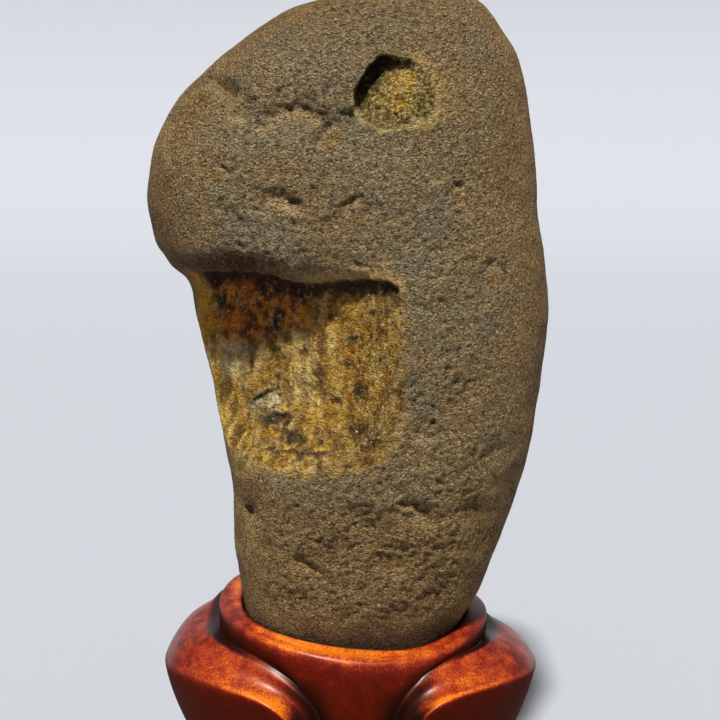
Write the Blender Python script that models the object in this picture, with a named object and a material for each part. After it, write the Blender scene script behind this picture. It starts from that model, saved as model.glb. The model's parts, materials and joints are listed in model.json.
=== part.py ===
"""A scholar's rock on its carved stand.

The rock is one water-worn cobble with an old break in its left side. It stands in a socket cut
to its foot, in the collar of a lacquered wooden stand. Dimensions are in millimetres here and
become metres where a mesh is made. +Z is up, -Y is the front, and the stand's flat underside
lies on z = 0 with its middle at the origin.
"""
import math

import bmesh
import bpy
import numpy as np
from mathutils import Vector, noise

MM = 0.001

# ---- the cobble: its horizontal sections ----
# height, left edge, right edge, front edge, back edge, line that the section is centred on
COBBLE_SECTIONS = np.array((
    (25.6, -15.0, 16.6, -10.6, 11.6, 1.4),
    (27.5, -18.2, 19.4, -13.2, 14.2, 1.4),
    (31.0, -19.8, 20.9, -15.0, 16.0, 1.4),
    (36.0, -21.0, 22.4, -16.2, 17.2, 1.6),
    (45.0, -22.4, 27.1, -18.8, 19.4, 2.4),
    (54.0, -23.6, 30.7, -20.9, 20.8, 3.2),
    (63.0, -23.6, 33.7, -22.4, 21.8, 4.0),
    (72.0, -24.7, 35.9, -23.0, 22.6, 4.4),
    (81.0, -26.5, 37.0, -23.4, 23.2, 4.0),
    (90.0, -28.1, 38.0, -23.6, 23.6, 3.4),
    (100.0, -30.9, 38.6, -23.6, 23.8, 2.6),
    (106.0, -32.7, 38.4, -23.4, 23.8, 2.0),
    (109.0, -35.8, 38.3, -23.2, 23.8, 1.6),
    (114.0, -37.5, 37.7, -23.0, 23.6, 1.0),
    (122.5, -38.7, 36.5, -22.6, 23.2, 0.4),
    (131.0, -38.3, 36.0, -22.0, 22.4, 0.8),
    (138.5, -34.8, 35.1, -21.0, 21.2, 2.2),
    (146.5, -27.6, 33.4, -18.8, 19.2, 4.6),
    (154.5, -17.3, 29.5, -14.8, 15.2, 7.6),
    (160.0, -6.0, 24.6, -9.4, 9.8, 9.4),
    (163.2, 9.4, 9.6, -0.1, 0.1, 9.5),
))
COBBLE_SQUARENESS = 2.45      # 2 is an ellipse, more is a flatter front with rounder sides
COBBLE_COLUMNS = 168
COBBLE_ROWS = 132
COBBLE_EVEN_ROWS = 0.55       # share of the rows' spacing that is even; the rest crowds the ends
RELIEF_STARTS = 42.0          # below this height the foot stays smooth, to fit the socket
RELIEF_FADE = 6.0
VOXEL = 0.75
SMOOTHING = 0.5
SMOOTHING_PASSES = 3
KEPT_FACES = 0.0432          # share of the fine skin's faces that the solid keeps

# ---- the cobble: what the river and old knocks left on it ----
FRONT_FROM = (4.0, -6.0)      # y over which the marks of the front come in
# broad forms of the front: x, height, half width, half height, how far they stand out
SWELLS = (
    (-22.0, 126.0, 13.0, 11.0, 1.5),
    (-12.0, 147.0, 10.0, 6.0, 0.9),
    (24.0, 132.0, 12.0, 22.0, -0.8),
    (-10.0, 69.0, 14.0, 5.0, 0.9),
    (22.0, 92.0, 12.0, 16.0, 0.6),
    (26.0, 60.0, 9.0, 12.0, -0.8),
    (2.0, 56.0, 12.0, 9.0, -0.5),
)
# the crease that runs from the left outline to the hollow: x, height
CREASE = ((-29.0, 145.6), (-24.0, 144.1), (-19.5, 141.4), (-17.0, 137.2), (-13.2, 138.0),
          (-8.9, 138.8), (-5.3, 137.4), (-3.9, 135.6), (0.9, 138.5))
CREASE_DEPTH = 1.0
CREASE_HALF_WIDTH = 1.5
CREASE_BANK = 4.2             # the soft slope beside the crease
CREASE_BANK_DEPTH = 1.1
CREASE_FADES = (-26.0, -17.0)   # x over which it dies away towards the left outline
CREASE_AT_OUTLINE = 0.25      # share of its depth that is left there
SPUR = ((-3.9, 135.8), (-6.4, 133.0))
SPUR_DEPTH = 0.7
# chips and dents: x, height, half length, half height, turn in degrees, depth
FRONT_CHIPS = (
    (-23.2, 144.0, 3.2, 1.3, -25.0, 1.5),
    (-22.8, 127.3, 3.4, 1.5, -30.0, 0.9),
    (-11.5, 122.6, 3.8, 1.3, -12.0, 1.2),
    (0.2, 120.6, 4.0, 1.4, 22.0, 0.9),
    (20.4, 124.2, 2.4, 1.8, 20.0, 0.9),
    (27.0, 109.4, 3.4, 2.2, 15.0, 0.9),
    (17.0, 104.0, 3.0, 1.6, -35.0, 0.5),
    (20.0, 86.0, 5.0, 2.6, 25.0, 0.7),
    (26.5, 75.0, 4.2, 2.0, 20.0, 0.7),
    (13.6, 63.6, 4.6, 2.0, -8.0, 1.1),
    (3.6, 62.0, 3.4, 2.0, 18.0, 0.8),
    (24.0, 64.0, 4.4, 2.2, -30.0, 0.8),
    (-7.6, 52.4, 4.0, 1.5, -38.0, 0.8),
    (9.0, 54.4, 5.2, 2.2, 10.0, 0.7),
    (-19.6, 62.8, 1.5, 1.5, 0.0, 0.7),
    (16.5, 47.5, 3.4, 1.6, 15.0, 0.5),
)
BACK_CHIPS = (
    (-20.0, 129.0, 5.0, 2.2, 20.0, 0.9),
    (12.0, 138.0, 4.0, 1.8, -15.0, 0.8),
    (22.0, 108.0, 6.0, 2.4, 35.0, 0.9),
    (-6.0, 112.0, 3.2, 2.6, 0.0, 0.7),
    (6.0, 88.0, 7.0, 2.4, -22.0, 0.9),
    (-14.0, 78.0, 3.4, 1.8, 30.0, 0.8),
    (20.0, 70.0, 4.2, 2.0, 10.0, 0.8),
    (-4.0, 58.0, 5.0, 2.0, -12.0, 0.7),
)
# slow unevenness all over the stone: size of a rise, height
ROLLS = ((15.0, 0.75), (6.5, 0.32))

# ---- the break: a slab split off the left of the front ----
# the lip it left above, and where the split runs out below: x, height
LIP_LINE = ((-46.0, 108.2), (-32.0, 108.4), (-27.0, 108.9), (-20.6, 109.4), (-15.0, 109.0),
            (-12.0, 108.1), (-9.0, 107.5), (-6.0, 107.5), (-3.0, 108.0), (0.0, 108.5),
            (4.0, 108.7), (7.0, 108.4), (9.4, 106.9))
LIP_ROLL = 4.0                # the skin rolls back this far towards the lip
LIP_ROLL_HEIGHT = 8.0
LIP_ROLL_FADES = (9.0, -6.0)  # x over which the roll comes in from the right
TOE_LINE = ((-46.0, 66.0), (-26.0, 69.5), (-17.0, 73.0), (-9.0, 73.0), (0.0, 74.0), (5.5, 76.0),
            (8.2, 80.0), (9.4, 86.0))
BREAK_LEFT = -46.0
BREAK_RIGHT = 9.4
SPLIT_AT = (-27.0, -5.4)      # x and y of the split face, which runs off to the front right
SPLIT_SLOPE = -0.48
SPLIT_RAMP = 15.0             # height over which its foot curls out to the skin
SPLIT_RAMP_REACH = 7.5
SPLIT_RIB_HEIGHT = 0.22
# each rib: turns for a millimetre across and upwards, start, share of the height
SPLIT_RIBS = ((0.9, 0.12, 0.0, 1.0), (1.9, -0.2, 1.3, 0.6), (0.3, 0.55, 0.0, 0.5))
BREAK_COLUMNS = 44
BREAK_ROWS = 26
IN_FRONT = -45.0              # clear of the stone's front

# ---- the hollow in the brow: its rim, x and height ----
HOLLOW_RIM = ((1.0, 141.4), (2.2, 144.6), (4.0, 147.0), (6.0, 148.9), (8.0, 148.5), (10.6, 148.0),
              (12.8, 146.8), (14.6, 144.4), (15.8, 141.4), (15.4, 138.6), (12.8, 137.0),
              (9.6, 135.9), (6.4, 135.7), (3.6, 136.6), (1.4, 138.8))
HOLLOW_SKIN = (-18.3, 148.5, 0.23)   # y of the skin at a height, and how it leans out below
HOLLOW_DEEP_SIDE = (-0.75, 0.66)      # towards its upper left, where the edge overhangs
HOLLOW_DEEP_FROM = (-0.15, 0.95)      # where it deepens, as shares of its reach to that side
HOLLOW_SHALLOW = 0.9
HOLLOW_DEEP = 5.6
HOLLOW_OVERHANG = 1.2
# rings from outside the skin to the middle: share of the rim's size, share of the depth
HOLLOW_RINGS = ((1.04, -3.0), (1.0, 0.0), (0.96, 0.7), (0.86, 1.0), (0.66, 0.95), (0.42, 0.8), (0.2, 0.7))

# ---- the stand ----
FIT_GAP = 0.4                 # clear all round the stone's foot
SOCKET_HEIGHTS = (27.5, 31.0, 34.0)
SOCKET_FLOOR_SHARE = 0.88     # the floor's edge against the wall above it
SOCKET_RIM_RISE = 0.3         # the rim round the stone, over the collar's outer edge
STAND_COLUMNS = 20            # in each quarter
STEM_COLUMNS = 4              # of those, the ones that run down the front stem
STAND_CENTRE_X = 0.6
COLLAR_HALF_WIDTH = 27.6
COLLAR_HALF_DEPTH = 22.5
COLLAR_HEIGHT = 38.6
COLLAR_DIP = 3.6              # the collar sinks where the stone's foot shows most
COLLAR_DIP_TURN = 20.0        # degrees right of the front
COLLAR_DIP_SPREAD = 34.0
COLLAR_EDGE = 0.7             # its top edge is rounded by this much
COLLAR_CROWN = 0.25           # the collar's top is this much higher half way across
COLLAR_EDGE_FULLNESS = 1.006  # the rounding's middle stands out past a straight bevel
COLLAR_EDGE_DROP = 0.2
BACK_RISE = 3.5               # the block stands higher at its back left
BACK_RISE_TURN = -125.0
BACK_RISE_SPREAD = 32.0
LEFT_LOBE_SIZE = 1.03
SOCKET_FLOOR = 25.1
STEM_TAPER = 0.93             # the wall under the collar narrows to this share
STEM_TAPER_OVER = (6.0, 30.0)   # between these heights
BRINK = 1.1                   # the wall's last row above the groove
BRINK_MOST = 0.5              # but at most this share of the wall
WALL_ROWS = (0.3, 0.6, 0.85)
# the groove round the collar and down the stem, from its foot up to the side: x, y, height
GROOVE = ((6.9, -19.2, 6.2), (5.9, -20.3, 13.0), (5.8, -20.9, 20.0), (6.6, -21.0, 25.6),
          (8.6, -20.7, 28.6), (11.4, -19.9, 30.9), (14.8, -18.3, 32.6), (20.0, -14.8, 33.4),
          (25.2, -8.6, 33.5), (26.9, 0.0, 33.3))
# the lobe's crisp edge, from the foot up to the side
ARRIS = ((11.2, -21.6, 6.4), (10.9, -24.0, 13.0), (11.2, -25.2, 20.0), (12.4, -25.4, 24.6),
         (15.4, -24.6, 27.6), (20.0, -22.4, 28.7), (26.0, -19.0, 28.7), (32.2, -13.6, 28.1),
         (36.6, -7.2, 27.2), (38.2, 0.0, 26.6))
# share of the columns past the stem, and the share of each curve's length that they have covered
GROOVE_SHARES = ((0.0, 0.4, 1.0), (0.0, 0.58, 1.0))
ARRIS_SHARES = ((0.0, 0.4, 1.0), (0.0, 0.44, 1.0))
BEAD_AT = 0.17                # across the lobe's top, from groove to arris
BEAD_WIDTH = 0.1
BEAD_HEIGHT = 1.5
BEAD_DIES = (0.7, 1.0)        # along the lobe, from the stem round to the side
DOME_HEIGHT = 2.3
DOME_FILLS = (0.35, 0.95)     # along the lobe, the cove fills up to a dome
LOBE_STARTS = (0.0, 0.12)     # along the lobe, both come up from the foot
COVE_DEPTH = 1.3
LOBE_ROWS = (BEAD_AT * 0.45, BEAD_AT, BEAD_AT * 1.8, 0.46, 0.64, 0.82, 0.95)
LOBE_SLANT = 0.03             # share of the lobe's length over which its run is taken
LOBE_MIDDLE = 12.0            # the lobes bulge away from here: behind the groove, this high
STEM_SHIFT = 1.3              # the carver's stem stands a little right of the middle
STEM_SHIFT_SPREAD = 13.0
STEM_SHIFT_FADES = ((36.0, 26.0), (5.0, 10.0))   # and straightens above and below
LOBE_FOOT_HALF_WIDTH = 29.3
LOBE_FOOT_HALF_DEPTH = 20.2
LOBE_FOOT_HEIGHT = 5.8
LOBE_BELLY = 1.3
LOBE_BELLY_STARTS = 0.3       # power of its rise from the stem; less is sooner
FLANK_ROWS = (0.06, 0.3, 0.65, 1.0)
LOBE_RISE = 1.25              # the lobes climb with the block's back, a little faster
LOBE_RISE_FROM = (23.0, 32.0)
PLINTH_HALF_WIDTH = 31.4
PLINTH_HALF_DEPTH = 22.4
PLINTH_HEIGHT = 4.6
PLINTH_EDGE = 0.6

# ---- colours ----
STONE_COLOUR = (0.16, 0.12, 0.08)
STONE_ROUGHNESS = 0.85
LACQUER_COLOUR = (0.20, 0.03, 0.01)
LACQUER_ROUGHNESS = 0.25


def clear_scene():
    for item in list(bpy.data.objects):
        bpy.data.objects.remove(item, do_unlink=True)


def material(name, colour, roughness):
    made = bpy.data.materials.new(name)
    made.use_nodes = True
    shader = made.node_tree.nodes["Principled BSDF"]
    shader.inputs["Base Color"].default_value = (*colour, 1.0)
    shader.inputs["Roughness"].default_value = roughness
    shader.inputs["Metallic"].default_value = 0.0
    return made


def solid(name, points, faces, finish=None):
    """A mesh object from points in millimetres, with its faces turned outwards."""
    mesh = bpy.data.meshes.new(name)
    mesh.from_pydata([tuple(p) for p in np.asarray(points) * MM], [], faces)
    skin = bmesh.new()
    skin.from_mesh(mesh)
    bmesh.ops.recalc_face_normals(skin, faces=skin.faces)
    skin.to_mesh(mesh)
    skin.free()
    mesh.shade_smooth()
    made = bpy.data.objects.new(name, mesh)
    bpy.context.collection.objects.link(made)
    if finish:
        mesh.materials.append(finish)
    return made


def ring_faces(rings, columns):
    """Quads between closed rings of points, and a cap on the first and last ring."""
    faces = []
    for ring in range(rings - 1):
        for column in range(columns):
            after = (column + 1) % columns
            faces.append((ring * columns + column, ring * columns + after,
                          (ring + 1) * columns + after, (ring + 1) * columns + column))
    faces.append(tuple(range(columns)))
    faces.append(tuple(range((rings - 1) * columns, rings * columns)))
    return faces


def smooth_table(at, places, values):
    """Values between the rows of a table, on a curve that doesn't overshoot them."""
    places = np.asarray(places, float)
    values = np.asarray(values, float)
    steps = np.diff(places)
    slopes = np.diff(values) / steps
    tangents = np.zeros_like(values)
    tangents[0] = slopes[0]
    tangents[-1] = slopes[-1]
    for row in range(1, len(values) - 1):
        before, after = slopes[row - 1], slopes[row]
        if before * after > 0.0:
            near = 2.0 * steps[row] + steps[row - 1]
            far = steps[row] + 2.0 * steps[row - 1]
            tangents[row] = (near + far) / (near / before + far / after)
    at = np.clip(np.asarray(at, float), places[0], places[-1])
    row = np.clip(np.searchsorted(places, at) - 1, 0, len(steps) - 1)
    t = (at - places[row]) / steps[row]
    return ((2 * t**3 - 3 * t**2 + 1) * values[row] + (t**3 - 2 * t**2 + t) * steps[row] * tangents[row]
            + (3 * t**2 - 2 * t**3) * values[row + 1] + (t**3 - t**2) * steps[row] * tangents[row + 1])


def curve_through(points, shares):
    """Places along a smooth curve through the given points, by share of its length."""
    points = np.asarray(points, float)
    spans = np.linalg.norm(np.diff(points, axis=0), axis=1)
    places = np.concatenate(([0.0], np.cumsum(spans)))
    places /= places[-1]
    return np.stack([smooth_table(shares, places, points[:, axis])
                     for axis in range(points.shape[1])], axis=-1)


def step_between(low, high, value):
    t = np.clip((value - low) / (high - low), 0.0, 1.0)
    return t * t * (3.0 - 2.0 * t)


def section(height, turn, grow=0.0):
    """Point of the uncut cobble at a height and a turn; turn 0 is +X, a quarter turn is +Y."""
    left, right, front, back, centre = (
        smooth_table(height, COBBLE_SECTIONS[:, 0], COBBLE_SECTIONS[:, column]) for column in range(1, 6))
    across, along = np.cos(turn), np.sin(turn)
    power = 2.0 / COBBLE_SQUARENESS
    half_width = np.where(across > 0.0, right - centre, centre - left) + grow
    half_depth = np.where(along > 0.0, back, -front) + grow
    x = centre + half_width * np.sign(across) * np.abs(across) ** power
    y = half_depth * np.sign(along) * np.abs(along) ** power
    return np.stack([x, y, np.broadcast_to(height, x.shape)], axis=-1)


def distance_to_path(x, z, path):
    """Distance from each point to a line of straight runs, seen from the front."""
    nearest = np.full(x.shape, 1e6)
    for (x0, z0), (x1, z1) in zip(path[:-1], path[1:]):
        run = (x1 - x0) ** 2 + (z1 - z0) ** 2
        share = np.clip(((x - x0) * (x1 - x0) + (z - z0) * (z1 - z0)) / run, 0.0, 1.0)
        nearest = np.minimum(nearest, np.hypot(x - x0 - share * (x1 - x0), z - z0 - share * (z1 - z0)))
    return nearest


def spot(x, z, middle_x, middle_z, half_length, half_height, turn=0.0):
    """1 in the middle of an oval patch, falling softly to 0 outside it."""
    turn = math.radians(turn)
    along = (x - middle_x) * math.cos(turn) + (z - middle_z) * math.sin(turn)
    across = (z - middle_z) * math.cos(turn) - (x - middle_x) * math.sin(turn)
    return np.exp(-(along / half_length) ** 2 - (across / half_height) ** 2)


def relief(points):
    """How far the skin stands out from the plain cobble, point by point."""
    x, y, z = points[..., 0], points[..., 1], points[..., 2]
    front = step_between(*FRONT_FROM, y)
    height = np.zeros(x.shape)
    for middle_x, middle_z, half_width, half_height, rise in SWELLS:
        height += front * rise * spot(x, z, middle_x, middle_z, half_width, half_height)
    crease = distance_to_path(x, z, CREASE)
    held = front * (CREASE_AT_OUTLINE + (1.0 - CREASE_AT_OUTLINE) * step_between(*CREASE_FADES, x))
    height -= held * CREASE_DEPTH * np.exp(-(crease / CREASE_HALF_WIDTH) ** 2)
    height -= held * CREASE_BANK_DEPTH * np.exp(-(crease / CREASE_BANK) ** 2)
    height -= front * SPUR_DEPTH * np.exp(-(distance_to_path(x, z, SPUR) / CREASE_HALF_WIDTH) ** 2)
    for chips, side in ((FRONT_CHIPS, front), (BACK_CHIPS, 1.0 - front)):
        for middle_x, middle_z, half_length, half_height, turn, depth in chips:
            height -= side * depth * spot(x, z, middle_x, middle_z, half_length, half_height, turn)
    over_lip = z - smooth_table(x, [p[0] for p in LIP_LINE], [p[1] for p in LIP_LINE])
    rolled = np.where(over_lip > 0.0, np.clip(1.0 - over_lip / LIP_ROLL_HEIGHT, 0.0, 1.0) ** 3,
                      np.exp(-(over_lip / LIP_ROLL_HEIGHT) ** 2))
    height -= front * LIP_ROLL * rolled * step_between(*LIP_ROLL_FADES, x)
    for size, rise in ROLLS:
        flat = [noise.noise(Vector(point) / size) for point in points.reshape(-1, 3)]
        height += rise * np.array(flat).reshape(x.shape)
    return height * step_between(RELIEF_STARTS, RELIEF_STARTS + RELIEF_FADE, z)


def make_cobble(finish):
    """The whole cobble: stacked sections, closer together at its top and its foot."""
    low, high = COBBLE_SECTIONS[0, 0], COBBLE_SECTIONS[-1, 0]
    share = np.linspace(0.0, 1.0, COBBLE_ROWS)
    crowded = (1.0 - np.cos(math.pi * share)) / 2.0
    heights = low + (high - low) * (COBBLE_EVEN_ROWS * share + (1.0 - COBBLE_EVEN_ROWS) * crowded)
    turns = np.linspace(0.0, 2.0 * math.pi, COBBLE_COLUMNS, endpoint=False)
    grid = section(heights[:, None] + 0.0 * turns[None, :], turns[None, :] + 0.0 * heights[:, None])
    along = np.roll(grid, -1, axis=1) - np.roll(grid, 1, axis=1)
    upward = np.gradient(grid, axis=0)
    normals = np.cross(along, upward)
    normals /= np.maximum(np.linalg.norm(normals, axis=-1, keepdims=True), 1e-9)
    grid = grid + normals * relief(grid)[..., None]
    return solid("stone", grid.reshape(-1, 3), ring_faces(COBBLE_ROWS, COBBLE_COLUMNS), finish)


def split_face(x, z):
    """Depth (y) of the split: a slanting plane that curls out at its foot, with upright ribs."""
    plane = SPLIT_AT[1] + SPLIT_SLOPE * (x - SPLIT_AT[0])
    toe = smooth_table(x, [p[0] for p in TOE_LINE], [p[1] for p in TOE_LINE])
    curl = 1.0 - np.clip((z - toe) / SPLIT_RAMP, 0.0, 1.0)
    ribs = sum(share * np.sin(across * x + upward * z + start) for across, upward, start, share in SPLIT_RIBS)
    return plane - SPLIT_RAMP_REACH * curl**2 + SPLIT_RIB_HEIGHT * ribs


def make_break_cutter():
    """The slab that split off: its back is the split face, its top the underside of the lip."""
    points = []
    columns = np.linspace(BREAK_LEFT, BREAK_RIGHT, BREAK_COLUMNS)
    tops = smooth_table(columns, [p[0] for p in LIP_LINE], [p[1] for p in LIP_LINE])
    toes = smooth_table(columns, [p[0] for p in TOE_LINE], [p[1] for p in TOE_LINE])
    for x, top, toe in zip(columns, tops, toes):
        heights = np.linspace(toe, top, BREAK_ROWS)
        inner = [(x, y, z) for y, z in zip(split_face(x, heights), heights)]
        outer = [(x, IN_FRONT, top), (x, IN_FRONT, toe)]
        points.extend(inner + outer)
    cutter = solid("break_cutter", points, ring_faces(BREAK_COLUMNS, BREAK_ROWS + 2))
    return as_cutter(cutter)


def make_hollow_cutter():
    """The hollow: rings that narrow inwards, deepest under its upper left edge."""
    rim = np.array(HOLLOW_RIM)
    middle = rim.mean(axis=0)
    reach = np.linalg.norm(rim - middle, axis=1).mean()
    skin_y, skin_z, lean = HOLLOW_SKIN
    points = []
    for size, share in HOLLOW_RINGS:
        for x, z in middle + (rim - middle) * size:
            deep = float(step_between(*HOLLOW_DEEP_FROM, ((x, z) - middle) @ HOLLOW_DEEP_SIDE / reach))
            depth = share * (HOLLOW_SHALLOW + (HOLLOW_DEEP - HOLLOW_SHALLOW) * deep)
            under = HOLLOW_OVERHANG * deep * max(share, 0.0)
            points.append((x + under * HOLLOW_DEEP_SIDE[0], skin_y - lean * (skin_z - z) + depth,
                           z + under * HOLLOW_DEEP_SIDE[1]))
    return as_cutter(solid("hollow_cutter", points, ring_faces(len(HOLLOW_RINGS), len(HOLLOW_RIM))))


def as_cutter(item):
    item.hide_render = True
    item.display_type = "WIRE"
    return item


def cut(item, cutter):
    boolean = item.modifiers.new(cutter.name, "BOOLEAN")
    boolean.operation = "DIFFERENCE"
    boolean.solver = "EXACT"
    boolean.object = cutter


def make_stone(finish):
    """The cobble with its break and its hollow, worn soft and brought down to few faces."""
    stone = make_cobble(finish)
    cut(stone, make_break_cutter())
    cut(stone, make_hollow_cutter())
    remesh = stone.modifiers.new("even skin", "REMESH")
    remesh.mode = "VOXEL"
    remesh.voxel_size = VOXEL * MM
    wear = stone.modifiers.new("wear", "SMOOTH")
    wear.factor = SMOOTHING
    wear.iterations = SMOOTHING_PASSES
    fewer = stone.modifiers.new("fewer faces", "DECIMATE")
    fewer.ratio = KEPT_FACES
    return stone


def about(turn, middle, spread):
    """1 at a turn in degrees, falling softly to 0 away from it."""
    off = (turn - middle + 180.0) % 360.0 - 180.0
    return math.exp(-0.5 * (off / spread) ** 2)


def collar_height(turn):
    """Height of the collar's top edge; turn is in degrees from the front, right positive."""
    return (COLLAR_HEIGHT - COLLAR_DIP * about(turn, COLLAR_DIP_TURN, COLLAR_DIP_SPREAD)
            + BACK_RISE * about(turn, BACK_RISE_TURN, BACK_RISE_SPREAD))


def on_wall(point):
    """Move a point straight in or out onto the collar wall, which narrows towards the foot."""
    x, y, z = point
    taper = STEM_TAPER + (1.0 - STEM_TAPER) * step_between(*STEM_TAPER_OVER, z)
    reach = math.hypot(x / (COLLAR_HALF_WIDTH * taper), y / (COLLAR_HALF_DEPTH * taper))
    return np.array((x / reach, y / reach, z))


def oval(turn, half_width, half_depth, height):
    """Point of an oval seen from above; turn is in radians from the front, right positive."""
    return np.array((half_width * math.sin(turn), -half_depth * math.cos(turn), height))


def along_groove(share):
    return curve_through(GROOVE, smooth_table(share, *GROOVE_SHARES))


def along_arris(share):
    return curve_through(ARRIS, smooth_table(share, *ARRIS_SHARES))


def lobe_profile(groove, arris, tangent, share):
    """Points over a lobe from the groove to the arris: a bead, then a cove that fills to a dome."""
    across = arris - groove
    outward = np.cross(tangent, across)
    outward /= np.linalg.norm(outward)
    if outward @ np.array((groove[0], groove[1], LOBE_MIDDLE)) < 0.0:
        outward = -outward
    full = step_between(*DOME_FILLS, share)
    present = step_between(*LOBE_STARTS, share)
    bead = BEAD_HEIGHT * present * (1.0 - step_between(*BEAD_DIES, share))
    dome = present * (DOME_HEIGHT * full - COVE_DEPTH * (1.0 - full))
    points = []
    for place in LOBE_ROWS:
        lift = bead * math.exp(-((place - BEAD_AT) / BEAD_WIDTH) ** 2) + dome * 4.0 * place * (1.0 - place)
        points.append(groove + across * place + outward * lift)
    return points


def stand_column(step, right, front):
    """One column of the stand's skin, from the socket's floor over the collar to the underside."""
    side = 1.0 if right else -1.0
    facing = 1.0 if front else -1.0
    quarter = step / STAND_COLUMNS
    turn = quarter * math.pi / 2.0
    degrees = math.degrees(turn) * side if front else 180.0 - math.degrees(turn) * side
    height = collar_height(degrees)
    mirror = np.array((side, facing, 1.0))

    stone_turn = math.atan2(-math.cos(turn) * facing, math.sin(turn) * side)
    column = [section(z, np.array(stone_turn), FIT_GAP) for z in SOCKET_HEIGHTS]
    column.insert(0, column[0] * (SOCKET_FLOOR_SHARE, SOCKET_FLOOR_SHARE, 1.0))
    column[0][2] = SOCKET_FLOOR
    column.append(section(height + SOCKET_RIM_RISE, np.array(stone_turn), FIT_GAP))
    offset = np.array((STAND_CENTRE_X, 0.0, 0.0))
    rim = column[-1]

    edge = oval(turn, COLLAR_HALF_WIDTH, COLLAR_HALF_DEPTH, height) * mirror
    middle = (rim - offset) * 0.5 + edge * 0.5
    middle[2] = height + COLLAR_CROWN
    inner_edge = edge * (1.0 - COLLAR_EDGE / COLLAR_HALF_WIDTH, 1.0 - COLLAR_EDGE / COLLAR_HALF_DEPTH, 1.0)
    outer_edge = edge - (0.0, 0.0, COLLAR_EDGE)
    rounding = (inner_edge + outer_edge) / 2.0 * COLLAR_EDGE_FULLNESS
    rounding[2] = height - COLLAR_EDGE_DROP
    outside = [middle, inner_edge, rounding, outer_edge]

    stem_share = STEM_COLUMNS / STAND_COLUMNS
    if quarter >= stem_share:
        share = (quarter - stem_share) / (1.0 - stem_share)
        groove, arris = along_groove(share), along_arris(share)
        near, far = max(share - LOBE_SLANT, 0.0), min(share + LOBE_SLANT, 1.0)
        tangent = along_groove(far) + along_arris(far) - along_groove(near) - along_arris(near)
        first_turn = math.asin(ARRIS[0][0] / LOBE_FOOT_HALF_WIDTH)
        foot_turn = smooth_table(share, (0.0, 1.0), (first_turn, math.pi / 2))
    else:
        share = 0.0
        part = quarter / stem_share
        groove, arris = np.array(GROOVE[0]) * (part, 1.0, 1.0), np.array(ARRIS[0]) * (part, 1.0, 1.0)
        tangent = np.array((1.0, 0.0, 0.0))
        foot_turn = part * math.asin(ARRIS[0][0] / LOBE_FOOT_HALF_WIDTH)
    top = outer_edge * mirror
    brink = on_wall(groove + (top - groove) * min(BRINK / np.linalg.norm(top - groove), BRINK_MOST))
    wall = [on_wall(top + (brink - top) * part) for part in WALL_ROWS] + [brink, groove]
    lobe = lobe_profile(groove, arris, tangent, share) + [arris]
    foot = oval(foot_turn, LOBE_FOOT_HALF_WIDTH, LOBE_FOOT_HALF_DEPTH, LOBE_FOOT_HEIGHT)
    flank = []
    for part in FLANK_ROWS:
        belly = LOBE_BELLY * share**LOBE_BELLY_STARTS * 4.0 * part * (1.0 - part)
        point = arris + (foot - arris) * part
        flank.append(point + belly * np.array((math.sin(foot_turn), -math.cos(foot_turn), 0.0)))
    plinth = [oval(foot_turn, PLINTH_HALF_WIDTH - PLINTH_EDGE, PLINTH_HALF_DEPTH - PLINTH_EDGE,
                   PLINTH_HEIGHT),
              oval(foot_turn, PLINTH_HALF_WIDTH, PLINTH_HALF_DEPTH, PLINTH_HEIGHT - PLINTH_EDGE),
              oval(foot_turn, PLINTH_HALF_WIDTH, PLINTH_HALF_DEPTH, PLINTH_EDGE),
              oval(foot_turn, PLINTH_HALF_WIDTH - PLINTH_EDGE, PLINTH_HALF_DEPTH - PLINTH_EDGE, 0.0)]
    if not right:
        lobe, flank = ([point * (LEFT_LOBE_SIZE, 1.0, 1.0) for point in part] for part in (lobe, flank))
    rise = BACK_RISE * about(degrees, BACK_RISE_TURN, BACK_RISE_SPREAD)
    for point in [wall[-1]] + lobe:
        point[2] += LOBE_RISE * rise * step_between(*LOBE_RISE_FROM, point[2])
    outside.extend(point * mirror for point in wall + lobe + flank + plinth)
    if front:
        for point in outside:
            low = math.prod(step_between(*heights, point[2]) for heights in STEM_SHIFT_FADES)
            point[0] += STEM_SHIFT * low * math.exp(-(point[0] / STEM_SHIFT_SPREAD) ** 2)
    column.extend(point + offset for point in outside)
    return column


def make_stand(finish):
    """The stand: columns all the way round, first from the front centre to the right side."""
    quarter = list(range(STAND_COLUMNS))
    around = [(step, True, True) for step in quarter]
    around += [(STAND_COLUMNS - step, True, False) for step in quarter]
    around += [(step, False, False) for step in quarter]
    around += [(STAND_COLUMNS - step, False, True) for step in quarter]
    columns = np.array([stand_column(*place) for place in around])
    rings = columns.transpose(1, 0, 2)
    return solid("stand", rings.reshape(-1, 3), ring_faces(len(rings), len(around)), finish)


def main():
    clear_scene()
    make_stone(material("river_stone", STONE_COLOUR, STONE_ROUGHNESS))
    make_stand(material("lacquered_wood", LACQUER_COLOUR, LACQUER_ROUGHNESS))


main()
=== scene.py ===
# %% [markdown]
# # A scholar's rock on its carved stand
#
# The subject is one water-worn cobble. A slab split off its left side long ago and left a ledge
# like an open mouth, and a small hollow sits above it like an eye. It stands in the socket of a
# lacquered wooden stand that was carved to fit its foot. This lesson dresses the two plain solids
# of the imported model: the stone gets its worn skin, its breaks and its pits, and the stand gets its
# crisp carved edges and its lacquer.

import json
import math

import bmesh
import bpy
import numpy as np
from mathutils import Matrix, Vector, kdtree, noise
from mathutils.bvhtree import BVHTree

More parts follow.
